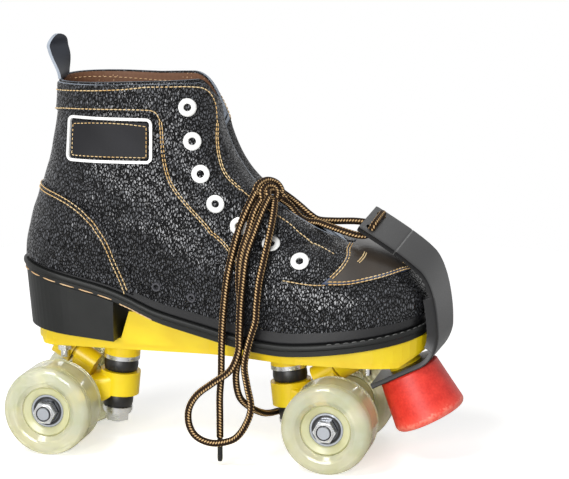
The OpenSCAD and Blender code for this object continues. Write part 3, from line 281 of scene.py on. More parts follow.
def castUrethane(name, light, dark, transmission, roughness):
    # cast polyurethane: pale green-yellow, cloudy inside, glossy skin
    material, tree, shader = newMaterial(name, light, roughness, IOR=1.48, Transmission_Weight=transmission)
    place = addNode(tree, "ShaderNodeTexCoord").outputs["Object"]
    swirl = addNode(tree, "ShaderNodeTexNoise", None,
                    {"Vector": place, "Scale": perMetre(11), "Detail": 2.0})
    addNode(tree, "ShaderNodeValToRGB", {"stops": [(0.35, dark), (0.6, light)]}, {"Fac": swirl},
            shader.inputs["Base Color"])
    addNode(tree, "ShaderNodeBump", None,
            {"Height": swirl, "Strength": 0.15, "Distance": 0.0003}, shader.inputs["Normal"])
    return material


# colours run from painted shade in the creases to painted highlight on the crests
leatherShadeToHighlightStops = [(0.0, "#020203"), (0.28, "#0d0d0f"), (0.6, "#2a2b2f"), (1.0, "#5c5e63")]  # crease to crest
# grain drawn at 1.8 mm, a little coarser than the real 1.5, so that it shows; the toe is stretched and shinier
blackLeather = tumbledLeather("tumbledBlackLeather", leatherShadeToHighlightStops, 1.8, 0.26, 0.45)
toeLeather = tumbledLeather("glazedToeLeather", leatherShadeToHighlightStops, 1.8, 0.22, 0.4)
# smooth leathers: no grain, a soft grey sheen where they bend, paler in the strap's crease
smoothLeather = plainFinish("stretchedBlackLeather", "#111113", "#0c0c0e", 0.4, 0.9, 0.1)
vampLeather = plainFinish("smoothBrownLeather", "#3a322a", "#2a2520", 0.4, 0.9, 0.12)
strapLeather = plainFinish("smoothStrapLeather", "#1b1b1c", "#161617", 0.36, 0.8, 0.08, Specular_IOR_Level=0.38)
strapCrease = plainFinish("creasedStrapLeather", "#4c4c4c", "#404040", 0.5, 0.8, 0.08)
tabLeather = plainFinish("smoothNavyLeather", "#141b28", "#0f151f", 0.45, 0.8, 0.1)
patchLeather = plainFinish("matteCoatedLeather", "#17171b", "#141417", 0.6, 0.6, 0.06, Specular_IOR_Level=0.25)
# cut edges: raw fibres read pale and dull, dyed ones navy
cutEdge = plainFinish("cutLeatherEdge", "#a9b1bc", "#858e9a", 0.6, 0.5, 0.08)
navyEdge = plainFinish("dyedLeatherEdge", "#55627c", "#414c63", 0.55, 0.5, 0.08)
# rubbers: a broad soft sheen; the grey dashes along the lip at the toe are a painted highlight
blackRubber = plainFinish("mouldedBlackRubber", "#1b1c1b", "#141514", 0.45, 0.9, 0.1, Specular_IOR_Level=0.3)
# painted highlight: pale grey for the dashes along the sole lip
lipHighlightPaint = plainFinish("paintedLipHighlightRubber", "#8a8a88", "#5c5c5b", 0.7, 0.6, 0.1)
cushionRubber = plainFinish("cushionRubber", "#1c1c1d", "#141415", 0.4, 0.9, 0.06)
# nylon, enamel and plastic: even colour and a clean gloss, wettest on the baked enamel
yellowNylon = plainFinish("mouldedYellowNylon", "#f5d81a", "#edcb12", 0.34, 1.4, 0.05)
whiteEnamel = plainFinish("whiteEnamel", "#f4f4f2", "#efefec", 0.2, 2.5, 0.02, Coat_Weight=0.5)
blackEnamel = plainFinish("blackEnamel", "#48484d", "#3c3c41", 0.16, 2.0, 0.02, Coat_Weight=0.4)
whitePlastic = plainFinish("whiteMouldedPlastic", "#f2f2f0", "#eaeae8", 0.28, 2.0, 0.02)
agletPlastic = plainFinish("blackAgletFilm", "#131314", "#0d0d0e", 0.25, 1.0, 0.02)
# steels: plated parts bright, sawn axle ends greyer, bearing shields dark and polished
zincSteel = turnedSteel("zincPlatedSteel", "#d3d4d6", 0.26)
cutSteel = turnedSteel("sawnAxleSteel", "#b3b7bd", 0.3)
bearingSteel = turnedSteel("bearingSteel", "#6a6c70", 0.22)
# waxed threads and insole board: matte, clouded between a lighter and a darker tone
goldThread = plainFinish("goldTwistedThread", "#f0d8a8", "#cfa562", 0.5, 0.5, 0.1)
weltThread = plainFinish("paleWeltThread", "#e3c39a", "#caa171", 0.55, 0.5, 0.1)
insoleBoard = plainFinish("tanInsoleBoard", "#b98f60", "#a57c50", 0.7, 1.2, 0.12)
# urethanes: clear tyre with pale yellow depth, yellower hub, teal ribs
clearUrethane = castUrethane("clearCastUrethane", "#fdfbdf", "#f5f4cd", 0.58, 0.08)
hubUrethane = castUrethane("yellowCastHub", "#f0efc2", "#e8e6b0", 0.35, 0.28)
ribUrethane = castUrethane("tealMouldedRib", "#9fbfb4", "#86aa9d", 0.2, 0.4)


def perforatedLining():
    # brown split leather with punched rows of small pale holes, about 3 mm apart
    material, tree, shader = newMaterial("perforatedBrownLining", "#85583a", 0.6)
    place = addNode(tree, "ShaderNodeTexCoord").outputs["Object"]
    dots = addNode(tree, "ShaderNodeTexVoronoi", None,
                   {"Vector": place, "Scale": perMetre(3.0), "Randomness": 0.15})
    addNode(tree, "ShaderNodeValToRGB", {"stops": [(0.12, "#c29b78"), (0.22, "#6c4831"), (0.9, "#7d573e")]},
            {"Fac": dots}, shader.inputs["Base Color"])
    addNode(tree, "ShaderNodeBump", None,
            {"Height": dots, "Strength": 0.4, "Distance": 0.0002}, shader.inputs["Normal"])
    return material


def braidedLace():
    # round polyester braid: dark brown, with four fine gold lines laid like rope along its length
    material, tree, shader = newMaterial("braidedLace", "#1d130b", 0.75, Specular_IOR_Level=0.15)
    place = addNode(tree, "ShaderNodeUVMap", {"uv_map": "UVMap"})
    parts = addNode(tree, "ShaderNodeSeparateXYZ", None, {"Vector": place.outputs["UV"]})
    lines = addNode(tree, "ShaderNodeMath", {"operation": "MULTIPLY"}, {0: parts.outputs["Y"], 1: 8.0})
    saw = addNode(tree, "ShaderNodeMath", {"operation": "PINGPONG"}, {0: lines, 1: 1.0})
    lay = addNode(tree, "ShaderNodeMath", {"operation": "MULTIPLY"}, {0: parts.outputs["Y"], 1: 24.0})
    slant = addNode(tree, "ShaderNodeMath", {"operation": "MULTIPLY_ADD"},
                    {0: parts.outputs["X"], 1: 2*math.pi/1.9, 2: lay})
    ply = addNode(tree, "ShaderNodeMath", {"operation": "SINE"}, {0: slant})
    gold = addNode(tree, "ShaderNodeMath", {"operation": "MULTIPLY_ADD"},
                   {0: ply, 1: 0.3, 2: saw})
    addNode(tree, "ShaderNodeValToRGB", {"stops": [(0.58, "#20150c"), (0.74, "#664828"), (1.0, "#d8b684")]},
            {"Fac": gold}, shader.inputs["Base Color"])
    addNode(tree, "ShaderNodeBump", None,
            {"Height": ply, "Strength": 0.5, "Distance": 0.0002}, shader.inputs["Normal"])
    return material


toeStop = {"x": 136, "z": 59, "lean": 27, "band": (24, 31.5)}  # middle of the top face, tilt, depths of the band


def brakeRubber():
    # moulded red rubber: mottled, with a pale scuffed band near the rim of the braking face
    material, tree, shader = newMaterial("mottledRedRubber", "#e8402f", 0.46)
    top, lean = toFrame((toeStop["x"], 0, toeStop["z"])), math.radians(toeStop["lean"])
    place = addNode(tree, "ShaderNodeTexCoord").outputs["Object"]
    blotch = addNode(tree, "ShaderNodeTexNoise", None,
                     {"Vector": place, "Scale": perMetre(7), "Detail": 5.0})
    fromTop = addNode(tree, "ShaderNodeVectorMath", {"operation": "SUBTRACT"},
                      {0: place, 1: tuple(top)})
    depth = addNode(tree, "ShaderNodeVectorMath", {"operation": "DOT_PRODUCT"},
                    {0: fromTop, 1: (math.sin(lean), 0, -math.cos(lean))})
    band = addNode(tree, "ShaderNodeMapRange", None,
                   {"Value": depth.outputs["Value"], "From Min": toeStop["band"][0]/1000,
                    "From Max": toeStop["band"][1]/1000, "To Min": -0.35, "To Max": 0.5})
    dashHighlight = addNode(tree, "ShaderNodeTexNoise", None,
                    {"Vector": place, "Scale": perMetre(1.6), "Detail": 3.0})
    worn = addNode(tree, "ShaderNodeMath", {"operation": "ADD", "use_clamp": True},
                   {0: band, 1: dashHighlight})
    paler = addNode(tree, "ShaderNodeMath", {"operation": "MULTIPLY"}, {0: worn, 1: 0.55})
    mottle = addNode(tree, "ShaderNodeMath", {"operation": "MULTIPLY_ADD", "use_clamp": True},
                     {0: blotch, 1: 0.5, 2: paler})
    addNode(tree, "ShaderNodeValToRGB",
            {"stops": [(0.2, "#d2291f"), (0.45, "#e63c2e"), (0.7, "#ec4c3c"), (0.86, "#f7836f")]},
            {"Fac": mottle}, shader.inputs["Base Color"])
    addNode(tree, "ShaderNodeBump", None,
            {"Height": dashHighlight, "Strength": 0.3, "Distance": 0.00015}, shader.inputs["Normal"])
    return material


liningLeather = perforatedLining()
laceBraid = braidedLace()
redRubber = brakeRubber()
print("materials made")


# lace: the routes of the solids, in millimetres from midway between the axles
lace = {"diameter": 4.5, "step": 1.5, "sides": 16, "knotShare": 0.96, "agletDiameter": 3.4,
        "nearAglet": ((23, -47.5, 19.4), (23, -47.5, 3.2)), "farAglet": ((69.4, 15, 14.3), (72, 15, 3.2))}
laceRoutes = {
    "laceBow": [
        (49, -21.5, 171), (46.5, -30.5, 163), (43, -37, 151), (39.5, -43.5, 137), (38, -46.5, 121),
        (37, -48.5, 105), (37, -51.5, 88), (36.5, -52.5, 77), (31.5, -53.5, 65), (20, -53.5, 56),
        (10, -53.5, 48), (4.5, -53.5, 39), (4, -53.5, 29), (8, -53.5, 21), (16, -53.5, 17),
        (25, -53.5, 17), (35, -53.5, 21), (42, -53.5, 31), (45, -53.5, 42), (42.5, -53, 55),
        (40.5, -52.5, 67), (42, -51.5, 78), (44.5, -50.5, 88), (47, -49.5, 97), (47.5, -48.5, 107),
        (48.5, -46, 121), (50.5, -42, 134), (52.5, -35, 149), (53, -26, 161), (52, -18, 169)],
    "laceNearTail": [
        (40.5, -22, 174.5), (37, -30, 165), (33, -34, 153.5), (30, -38, 140), (27, -42, 123),
        (25, -43.5, 104), (24, -45, 86), (24, -46.5, 74), (24, -47.5, 60), (23, -47.5, 46),
        (23, -47.5, 32), (23, -47.5, 19)],
    "laceFarTail": [
        (44.5, -21, 170.5), (41.5, -30, 163), (38.5, -35, 150), (35.3, -41, 136), (34.8, -43.4, 120),
        (36, -43.5, 103), (36, -46, 86), (35, -46, 72), (33, -45, 58), (34.5, -42, 45),
        (39, -33, 36), (43.5, -20, 29), (46, -6, 25), (49, 7, 23), (57, 14, 22), (65, 15, 18.5),
        (69.5, 15, 14)],
    "laceStrapRun": [
        (54, -10.5, 169), (58.5, -5, 164), (62.5, -3.8, 158.5), (66.5, -3.8, 154.8), (71.5, -4, 153.2),
        (77.5, -4.4, 153), (84, -7.5, 151.9), (95, -10.7, 149.4), (104, -10.7, 147.2), (110, -9.8, 147.3),
        (112.6, -9.3, 150.5), (114.2, -8, 153.7), (115.4, -3, 155.8), (115.8, 3, 156.8), (116.4, 9.5, 158),
        (115.6, 13, 155.9), (112.6, 13.6, 152), (107, 12.8, 151.2), (98, 10, 152.2), (86, 6.5, 152.4),
        (76, 3.8, 153.2), (70.5, 2.2, 156.6), (65, 2.5, 161), (59, 1.5, 166), (52.5, -4.5, 172.5)],
}
laceFacts = {  # node, length in metres, far end
    "laceBow": ("lace_bow", 0.364, "object"), "laceNearTail": ("lace_near_tail", 0.1625, "fitting"),
    "laceFarTail": ("lace_far_tail", 0.2178, "fitting"), "laceStrapRun": ("lace_strap_run", 0.173, "object")}
knotTurns = [  # overlapping turns of the same lace, pulled tight
    [(41, -22.5, 172.5), (40.5, -21, 176.5), (42.5, -17, 179.5), (46, -11.5, 180.5), (50.5, -7, 178),
     (53.5, -6.5, 173.5), (54.5, -9.5, 169)],
    [(45, -22.5, 169.5), (44, -20, 174.5), (46, -15, 177.5), (50, -11, 176), (52, -12, 171.5), (51.5, -16, 168)],
    [(49.5, -22, 169.5), (47.5, -18.5, 173.5), (48.5, -13, 174), (53, -9, 172), (57, -8.5, 167.5)],
    [(42, -20.5, 172), (46.5, -16.5, 170.5), (51, -13, 168.5), (54.5, -6.5, 169.5), (53.5, -3.5, 171.5)],
]


def lacePiece(name, lines, thick, replaced):
    points, faces, marks = [], [], []
    for line in lines:
        joinMesh(points, faces, *tubeMesh(line, thick/2, lace["sides"]))
        far = np.arange(len(line))*lace["step"]
        marks += [(a, k/lace["sides"]) for a in far for k in range(lace["sides"])] + [(0, 0), (far[-1], 0)]
    piece = makePiece(name, points, faces, laceBraid, "boot", replaced, "lace_weave")
    layer = piece.data.uv_layers.new(name="UVMap")  # along the lace in mm, and round it
    for face in piece.data.polygons:
        rounds = [marks[i][1] for i in face.vertices]
        wraps = max(rounds) - min(rounds) > 0.5
        for k, i in zip(face.loop_indices, face.vertices):
            layer.data[k].uv = (marks[i][0], marks[i][1] + (1 if wraps and marks[i][1] < 0.5 else 0))
    return piece


def aglet(name, start, end):  # rolled plastic film with a pinched tip
    line = evenly([start, end], 0.75)
    far = np.linspace(0, 1, len(line))
    radius = lace["agletDiameter"]/2*np.where(far > 0.9, 1 - 2.2*(far - 0.9), 1)
    points, faces = tubeMesh(line, radius, 16)
    return makePiece(name, points, faces, agletPlastic, "boot", (), "aglet_plastic")


nearAglet = aglet("laceNearAglet", *lace["nearAglet"])
farAglet = aglet("laceFarAglet", *lace["farAglet"])
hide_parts("lace_aglets")
for name, route in laceRoutes.items():
    node, length, farEnd = laceFacts[name]
    line = smoothLine(route, lace["step"])
    piece = lacePiece(name, [line], lace["diameter"], (node,))
    print(f"{name}: {runAlong(line)[-1]:.1f} mm long")
lacePiece("laceKnot", [smoothLine(turns, lace["step"]) for turns in knotTurns], lace["diameter"]*lace["knotShare"],
          ("lace_knot",))
print("lace laid")


# boot surface: turn q from the front along the right side round the heel, girth v from sole to collar
boot = {"heelX": -119.7, "length": 266.7, "featherZ": 81, "heelLift": 42.5, "toeSpring": 11.3, "heelLength": 67.7,
        "throatX": 95, "throatZ": 140, "throatV": 0.4, "throatGap": 7, "collarBackX": -96.2, "collarFrontX": 11,
        "collarZ": 245.5, "collarDrop": 4.8, "corners": {"right": (8, 0.05), "left": (24, 0.12)}, "lap": 6.5,
        "leftBack": 7, "heelHalf": 31.5, "ballHalf": 46, "lipOut": 3, "soleThick": 7.2, "leather": 2, "lining": 1}
# the form it is drawn over: swell of the heel, taper of the ankle, rounding of the ends, bend to the inner side
last = {"springFrom": 179.7, "heelSwell": 4, "ankleTaper": 6.5, "rounds": (76, 60, 40), "heelRound": 34,
        "heelWiden": 10, "bend": 5, "bendFrom": 60, "bendRun": 94, "tilt": 0.01, "leftRise": 2.6}
heelZ, toeZ = boot["featherZ"] + boot["heelLift"], boot["featherZ"] + boot["toeSpring"]
toeX = boot["heelX"] + boot["length"]
collarRun = boot["collarFrontX"] - boot["collarBackX"]
backTop = boot["collarZ"] - boot["collarDrop"]
backCurve = [(boot["heelX"], heelZ), (boot["heelX"], heelZ + 0.22*(backTop - heelZ)),
             (boot["collarBackX"] - 1, heelZ + 0.542*(backTop - heelZ)), (boot["collarBackX"], backTop)]
toeCurve = [(toeX, toeZ), (toeX + 9, toeZ + 29.7), (boot["throatX"] + 35, boot["throatZ"] - 4),
            (boot["throatX"], boot["throatZ"])]
instepCurve = [(boot["throatX"], boot["throatZ"]), (boot["throatX"] - 39, boot["throatZ"] + 23),
               (boot["collarFrontX"] + 2, boot["throatZ"] + 32), (boot["collarFrontX"], boot["collarZ"])]
foreGirth = [0, 0.1, 0.2, 0.3, 0.4, 0.55, 0.7, 1]
foreShare = [1, 0.99, 0.9, 0.75, 0.585, 0.6, 0.62, 0.61]
heelFallAt = [-68, -38, -4, 12, 26, 44, 77, 95, 112]  # mm past the heel block
heelFall = [1, 0.85, 0.66, 0.52, 0.35, 0.245, 0.09, 0.026, 0]


def smooth(t):
    t = np.clip(t, 0, 1)
    return t*t*(3 - 2*t)


def mix(a, b, t):
    return a + (b - a)*t


def bezier(points, t):
    p, t = np.asarray(points, float), np.asarray(t, float)[..., None]
    return (1 - t)**3*p[0] + 3*(1 - t)**2*t*p[1] + 3*(1 - t)*t*t*p[2] + t**3*p[3]


def roundEnd(t, power):
    return (1 - (1 - np.clip(t, 0, 1))**power)**(1/power)


def feather(x):  # height of the edge where upper and sole meet
    d = np.asarray(x, float) - boot["heelX"]
    fall = [np.interp(d - boot["heelLength"] + shift, heelFallAt, heelFall) for shift in (-8, 0, 0, 8)]
    spring = np.maximum(0, (d - last["springFrom"])/(boot["length"] - last["springFrom"]))**1.55
    return boot["featherZ"] + boot["heelLift"]*sum(fall)/4 + boot["toeSpring"]*spring


def frontLine(v):
    low, high = np.clip(v/boot["throatV"], 0, 1), np.clip((v - boot["throatV"])/(1 - boot["throatV"]), 0, 1)
    return np.where((v <= boot["throatV"])[..., None], bezier(toeCurve, low), bezier(instepCurve, high))


def collarEdge(q):  # girth of the collar's top edge, with a round corner at the throat
    (rightLength, rightDrop), (leftLength, leftDrop) = boot["corners"].values()
    ease = np.maximum(0, 1 - collarRun*(1 - np.cos(2*np.pi*q))/2/np.where(q > 0.5, leftLength, rightLength))
    return 1 - np.where(q > 0.5, leftDrop, rightDrop)*(1 - np.sqrt(1 - ease*ease))


def bootAt(q, v):
    q, v = np.broadcast_arrays(np.asarray(q, float), np.asarray(v, float))
    q = np.where(q < 0, q + 1, np.where(q > 1, q - 1, q))
    s, side = (1 + np.cos(2*np.pi*q))/2, np.where(q < 0.5, -1, 1)
    b, f = bezier(backCurve, v), frontLine(v)
    length = f[..., 0] - b[..., 0]
    x = b[..., 0] + length*s
    sag = feather(mix(boot["heelX"], toeX, s)) - mix(heelZ, toeZ, s)
    z = mix(b[..., 1], f[..., 1], s) + sag*np.maximum(0, 1 - v/0.5)**2
    heelHalf = boot["heelHalf"] + last["heelSwell"]*smooth(v/0.25) - last["ankleTaper"]*smooth((v - 0.55)/0.45)
    share = [np.interp(v + d, foreGirth, foreShare) for d in (-0.05, 0, 0, 0.05)]
    wide = mix(heelHalf, boot["ballHalf"]*sum(share)/4, smooth((s - 0.35)/0.4))
    low = np.clip(v/boot["throatV"], 0, 1)
    past = v - boot["throatV"]
    toe, throat, collar = last["rounds"]
    rounding = np.where(past > 0, mix(throat, collar, smooth(past/0.3)), mix(toe, throat, low))
    atHeel = roundEnd(s*length/(last["heelRound"] + last["heelWiden"]*v), 2)
    atFront = roundEnd((1 - s)*length/rounding, mix(3, 2.2, low))
    gap = np.where(s > 0.5, boot["throatGap"]*smooth(past/0.1), 0)
    bend = last["bend"]*np.maximum(0, (x - last["bendFrom"])/last["bendRun"])**2
    y = side*mix(gap, wide, atFront)*atHeel + bend
    leftSide = np.sin(np.pi*np.clip((q - 0.5)/0.27, 0, 1)**0.6)  # the collar stands higher there
    rise = last["leftRise"]*smooth((v - 0.75)/0.25)*leftSide
    z = z + last["tilt"]*y*smooth((v - 0.5)/0.5) + rise
    close = (1 - smooth(np.minimum(q, 1 - q)/0.04))*smooth((v - 0.55)/0.2)  # the throat's edges nearly meet
    return np.stack([x - np.where(side > 0, boot["leftBack"]*close, 0), y - side*boot["lap"]*close, z], -1)


def bootNormal(q, v):
    q, v = np.broadcast_arrays(np.asarray(q, float), np.asarray(v, float))
    ahead, behind = q + 0.002, q - 0.002
    past = v > boot["throatV"]
    ahead, behind = np.where(past, np.clip(ahead, 0, 1), ahead), np.where(past, np.clip(behind, 0, 1), behind)
    along = bootAt(ahead, v) - bootAt(behind, v)
    up = bootAt(q, np.minimum(1, v + 0.004)) - bootAt(q, np.maximum(0, v - 0.004))
    return unit(np.cross(up, along))


def bootOffset(q, v, out):
    return bootAt(q, v) + np.asarray(out, float)[..., None]*bootNormal(q, v)


def sideSpot(x, z):  # turn and girth of the right side's point at x and z
    low, high = np.zeros_like(x), np.ones_like(x)
    for _ in range(24):
        mid = (low + high)/2
        b, f = bezier(backCurve, mid)[..., 0], frontLine(mid)[..., 0]
        q = np.arccos(np.clip(2*(x - b)/(f - b) - 1, -1, 1))/(2*np.pi)
        below = bootAt(q, mid)[..., 2] < z
        low, high = np.where(below, mid, low), np.where(below, high, mid)
    return q, (low + high)/2


# upper: leather shell with a rolled collar and cut throat edges
upper = {"cols": 256, "toeRows": 52, "legRows": 92, "wave": 0.25, "toeTurn": 0.215, "smoothGirth": 0.03,
         "rim": 0.9}


def leatherWave(q, v):  # slight unevenness of stretched leather
    return upper["wave"]*(np.sin(2*np.pi*(5*q + 2.3*v))*np.sin(2*np.pi*(3.1*v + 0.2)) +
                          0.6*np.sin(2*np.pi*(11*q - 4*v + 0.3)))*smooth((v - 0.03)/0.1)


legShare = np.linspace(0, 1, upper["legRows"] + 1)[1:, None]
gridQ = np.broadcast_to(np.linspace(0, 1, upper["cols"] + 1)[None],
                        (upper["toeRows"] + upper["legRows"] + 1, upper["cols"] + 1))
toeV = np.linspace(0, boot["throatV"], upper["toeRows"] + 1)[:, None]
gridV = np.vstack([np.broadcast_to(toeV, (upper["toeRows"] + 1, upper["cols"] + 1)),
                   mix(boot["throatV"], collarEdge(gridQ[:1]), legShare)])
outward = bootOffset(gridQ, gridV, leatherWave(gridQ, gridV)*(1 - smooth((gridV - 0.9)/0.1))).reshape(-1, 3)
inward = bootOffset(gridQ, gridV, -boot["leather"]).reshape(-1, 3)
rows, stride = gridQ.shape
total = rows*stride


def upperId(i, j):
    return j*stride + (i % upper["cols"] if j <= upper["toeRows"] else i)


upperFaces, upperFinish = [], []  # finish 0 leather, 1 toe, 2 cut edge, 3 smooth
for j in range(rows - 1):
    for i in range(upper["cols"]):
        a, b, c, d = upperId(i, j), upperId(i + 1, j), upperId(i + 1, j + 1), upperId(i, j + 1)
        upperFaces += [(a, d, c, b), (total + a, total + b, total + c, total + d)]
        fore = min(i, upper["cols"] - 1 - i)/upper["cols"] < upper["toeTurn"] and j < upper["toeRows"]
        low = gridV[j, i] < upper["smoothGirth"]
        upperFinish += [3 if low else 1 if fore else 0, 0]
rimIds = [upperId(upper["cols"], j) for j in range(upper["toeRows"], rows)]
rimIds += [upperId(i, rows - 1) for i in range(upper["cols"] - 1, -1, -1)]
rimIds += [upperId(0, j) for j in range(rows - 2, upper["toeRows"], -1)]
rimTangent = unit(np.roll(outward[rimIds], -1, 0) - np.roll(outward[rimIds], 1, 0))
rimAway = unit(np.cross(rimTangent, unit(outward[rimIds] - inward[rimIds])))
rimPoints = [mix(outward[rimIds], inward[rimIds], share) + upper["rim"]*math.sin(math.pi*share)*rimAway
             for share in (0.2, 0.5, 0.8)]
count = len(rimIds)
loops = [rimIds] + [[2*total + n*count + k for k in range(count)] for n in range(3)] + [[total + k for k in rimIds]]
for one, two in zip(loops[:-1], loops[1:]):
    for k in range(count):
        m = (k + 1) % count
        upperFaces.append((one[k], one[m], two[m], two[k]))
        upperFinish.append(2)
for k in range(upper["cols"]):  # feather edge, hidden in the sole
    a, b = upperId(k, 0), upperId(k + 1, 0)
    upperFaces.append((a, b, total + b, total + a))
    upperFinish.append(3)
makePiece("upper", np.vstack([outward, inward] + rimPoints), upperFaces,
          [blackLeather, toeLeather, cutEdge, smoothLeather], "boot", ("upper",), "black_leather", None, upperFinish)
print("upper shaped")


# sewn overlays: each lies on the shell and dips under it along its border
def cluster(count, edge):  # parameter values that crowd at both ends
    t = np.linspace(0, 1, count)
    return t - edge*np.sin(2*np.pi*t)/(2*np.pi)


def overlayPiece(name, q, v, material, replaced, thick, slot, roundMm=1.6, edge=None):
    spots = bootAt(q, v)
    row, col = [np.cumsum(np.linalg.norm(np.diff(spots, axis=k), axis=2), k) for k in (1, 0)]
    row, col = np.concatenate([0*q[:, :1], row], 1), np.concatenate([0*q[:1], col], 0)
    sides = {"left": row, "right": row[:, -1:] - row, "low": col, "high": col[-1:] - col}  # mm from each border
    near = np.minimum.reduce(list(sides.values()))
    points = bootOffset(q, v, -0.5 + (thick + 0.5)*roundEnd(near/roundMm, 2) + leatherWave(q, v))
    finishes = None
    if edge:  # cut edge: second material on the named borders
        cut = np.minimum.reduce([sides[k] for k in edge[0]])
        cut = np.maximum(cut[:-1, :-1], cut[1:, 1:]) < np.interp(v[:-1, :-1], *edge[1])
        finishes = cut.ravel()
    makePiece(name, points, gridFaces(*q.shape), material, "boot", replaced, slot, None, finishes)


counter = {"lowV": 0.012, "highV": 0.515, "topV": 0.52, "halfTurn": 0.187, "lean": 0.04, "thick": 1.3}
counterV = mix(counter["lowV"], counter["highV"], np.sin(np.pi/2*cluster(60, 0.3)))
counterRound = np.maximum(0, 1 - (counterV/counter["topV"])**9)**0.4
counterEdge = 0.5 - (counter["halfTurn"] - counter["lean"]*counterV)*counterRound
counterQ = mix(counterEdge[:, None], 1 - counterEdge[:, None], cluster(120, 0.7)[None])
overlayPiece("heelCounter", counterQ, np.broadcast_to(counterV[:, None], counterQ.shape), blackLeather,
             ("heel_counter",), counter["thick"], "black_leather")


vamp = {"lowAt": [0, 0.15, 0.33, 0.66, 0.88, 1], "lowV": [0.196, 0.198, 0.201, 0.189, 0.178, 0.182], "highV": 0.381,
        "half": 0.152, "halfAt": 0.178, "taper": 0.48, "topV": 0.385, "topRound": 0.06, "thick": 2.2, "round": 1.8,
        "edge": 1.9}


def patchEdge(v):  # half width of the vamp patch, as turn
    return (vamp["half"] - vamp["taper"]*(v - vamp["halfAt"]))*roundEnd((vamp["topV"] - v)/vamp["topRound"], 2)


# eyestays and collar band are cut from one piece: up one side of the throat, round the collar, down the other
trim = {"lowV": 0.19, "legCount": 120, "cornerCount": 30, "collarCount": 100, "across": 34, "inset": 0.006,
        "gapTurn": 0.004, "tuck": 0.003, "thick": 1.3, "edgeAt": [0.4, 0.44, 0.92, 0.94], "edgeWide": [0, 3, 3, 0.6]}
trimScale = (600, 300)  # rough millimetres of turn and girth
innerParts = [
    [(0.224, 0.19), (0.224, 0.295), (0.223, 0.447), (0.223, 0.56), (0.222, 0.666), (0.214, 0.758), (0.198, 0.875)],
    [(0.198, 0.875), (0.194, 0.903), (0.199, 0.919), (0.222, 0.922)],
    [(0.222, 0.922), (0.304, 0.911), (0.39, 0.892), (0.468, 0.869), (0.5, 0.866)]]
innerCounts = (trim["legCount"], trim["cornerCount"], trim["collarCount"])
innerLine = np.vstack([evenly(smoothLine(np.asarray(part)*trimScale, 0.5), count=number + first)[first:]/trimScale
                       for part, number, first in zip(innerParts, innerCounts, (0, 1, 1))])


def trimHalf(cornerLength, cornerDrop):  # turn and girth of one half, from the throat and collar edge inwards
    gap = trim["gapTurn"]
    legV = np.linspace(trim["lowV"], 1 - cornerDrop - trim["inset"], trim["legCount"])
    cornerT = np.linspace(0, np.pi/2, trim["cornerCount"] + 1)[1:]
    cornerQ = np.arccos(1 - 2*cornerLength*(1 - np.cos(cornerT))/collarRun)/(2*np.pi)
    collarQ = np.linspace(cornerQ[-1], 0.5, trim["collarCount"] + 1)[1:]
    legQ = np.where(legV < boot["throatV"], np.maximum(gap, patchEdge(legV) - trim["tuck"]), gap)
    outerLine = np.vstack([
        np.column_stack([legQ, legV]),
        np.column_stack([np.maximum(gap, cornerQ), 1 - cornerDrop*(1 - np.sin(cornerT)) - trim["inset"]]),
        np.column_stack([collarQ, np.full(len(collarQ), 1 - trim["inset"])])])
    share = cluster(trim["across"], 0.7)[None]
    return mix(outerLine[:, :1], innerLine[:, :1], share), mix(outerLine[:, 1:], innerLine[:, 1:], share)


(rightQ, rightV), (leftQ, leftV) = [trimHalf(*corner) for corner in boot["corners"].values()]
overlayPiece("eyestayAndCollar", np.vstack([rightQ, 1 - leftQ[-2::-1]]), np.vstack([rightV, leftV[-2::-1]]),
             [blackLeather, cutEdge], ("collar_band", "eyestay_right", "eyestay_left"), trim["thick"],
             "black_leather", edge=(["left"], (trim["edgeAt"], trim["edgeWide"])))

vampShare = mix(-1, 1, cluster(90, 0.7))[None]
vampV = mix(np.interp(np.abs(vampShare), vamp["lowAt"], vamp["lowV"]), vamp["highV"], cluster(54, 0.5)[:, None])
overlayPiece("vampPatch", patchEdge(vampV)*vampShare, vampV, [vampLeather, navyEdge], ("vamp_patch",), vamp["thick"],
             "dark_brown_leather", vamp["round"], (["left", "right", "low"], ([0, 1], [vamp["edge"]]*2)))

patch = {"x": -53.7, "z": 205.5, "halfLength": 26, "halfHeight": 12, "thick": 1.2, "round": 1.2}
patchX, patchZ = np.meshgrid(patch["x"] + patch["halfLength"]*(1 - 2*cluster(60, 0.5)),
                             patch["z"] + patch["halfHeight"]*(2*cluster(34, 0.5) - 1))
patchQ, patchV = sideSpot(patchX, patchZ)
overlayPiece("sidePatch", patchQ, patchV, patchLeather, ("side_patch",), patch["thick"], "patch_leather",
             patch["round"])
print("overlays sewn on")


# lining, tongue, insole, outsole and pull tab
def sheetPiece(name, outside, inside, material, replaced, slot):  # closed sheet between two grids
    rows, cols = outside.shape[:2]
    count = rows*cols
    faces = gridFaces(rows, cols) + gridFaces(rows, cols, count, True)
    ring = list(range(cols)) + [j*cols + cols - 1 for j in range(1, rows)]
    ring += [(rows - 1)*cols + i for i in range(cols - 2, -1, -1)] + [j*cols for j in range(rows - 2, 0, -1)]
    body = len(faces)
    for k in range(len(ring)):
        a, b = ring[k], ring[(k + 1) % len(ring)]
        faces.append((a, b, count + b, count + a))
    cut = [0]*body + [1]*(len(faces) - body)  # the second material is for the cut edges
    makePiece(name, [outside, inside], faces, material, "boot", replaced, slot, 50,
              cut if isinstance(material, list) else None)


lining = {"turns": (0.03, 0.97), "lowV": 0.5, "below": 0.004, "faces": (0.3, 0.2)}
liningQ = np.broadcast_to(np.linspace(*lining["turns"], 160)[None], (70, 160))
liningV = mix(lining["lowV"], collarEdge(liningQ) - lining["below"], np.linspace(0, 1, 70)[:, None])
sheetPiece("lining", bootOffset(liningQ, liningV, -boot["leather"] - lining["faces"][0]),
           bootOffset(liningQ, liningV, -boot["leather"] - boot["lining"] - lining["faces"][1]), liningLeather,
           ("lining",), "brown_lining")

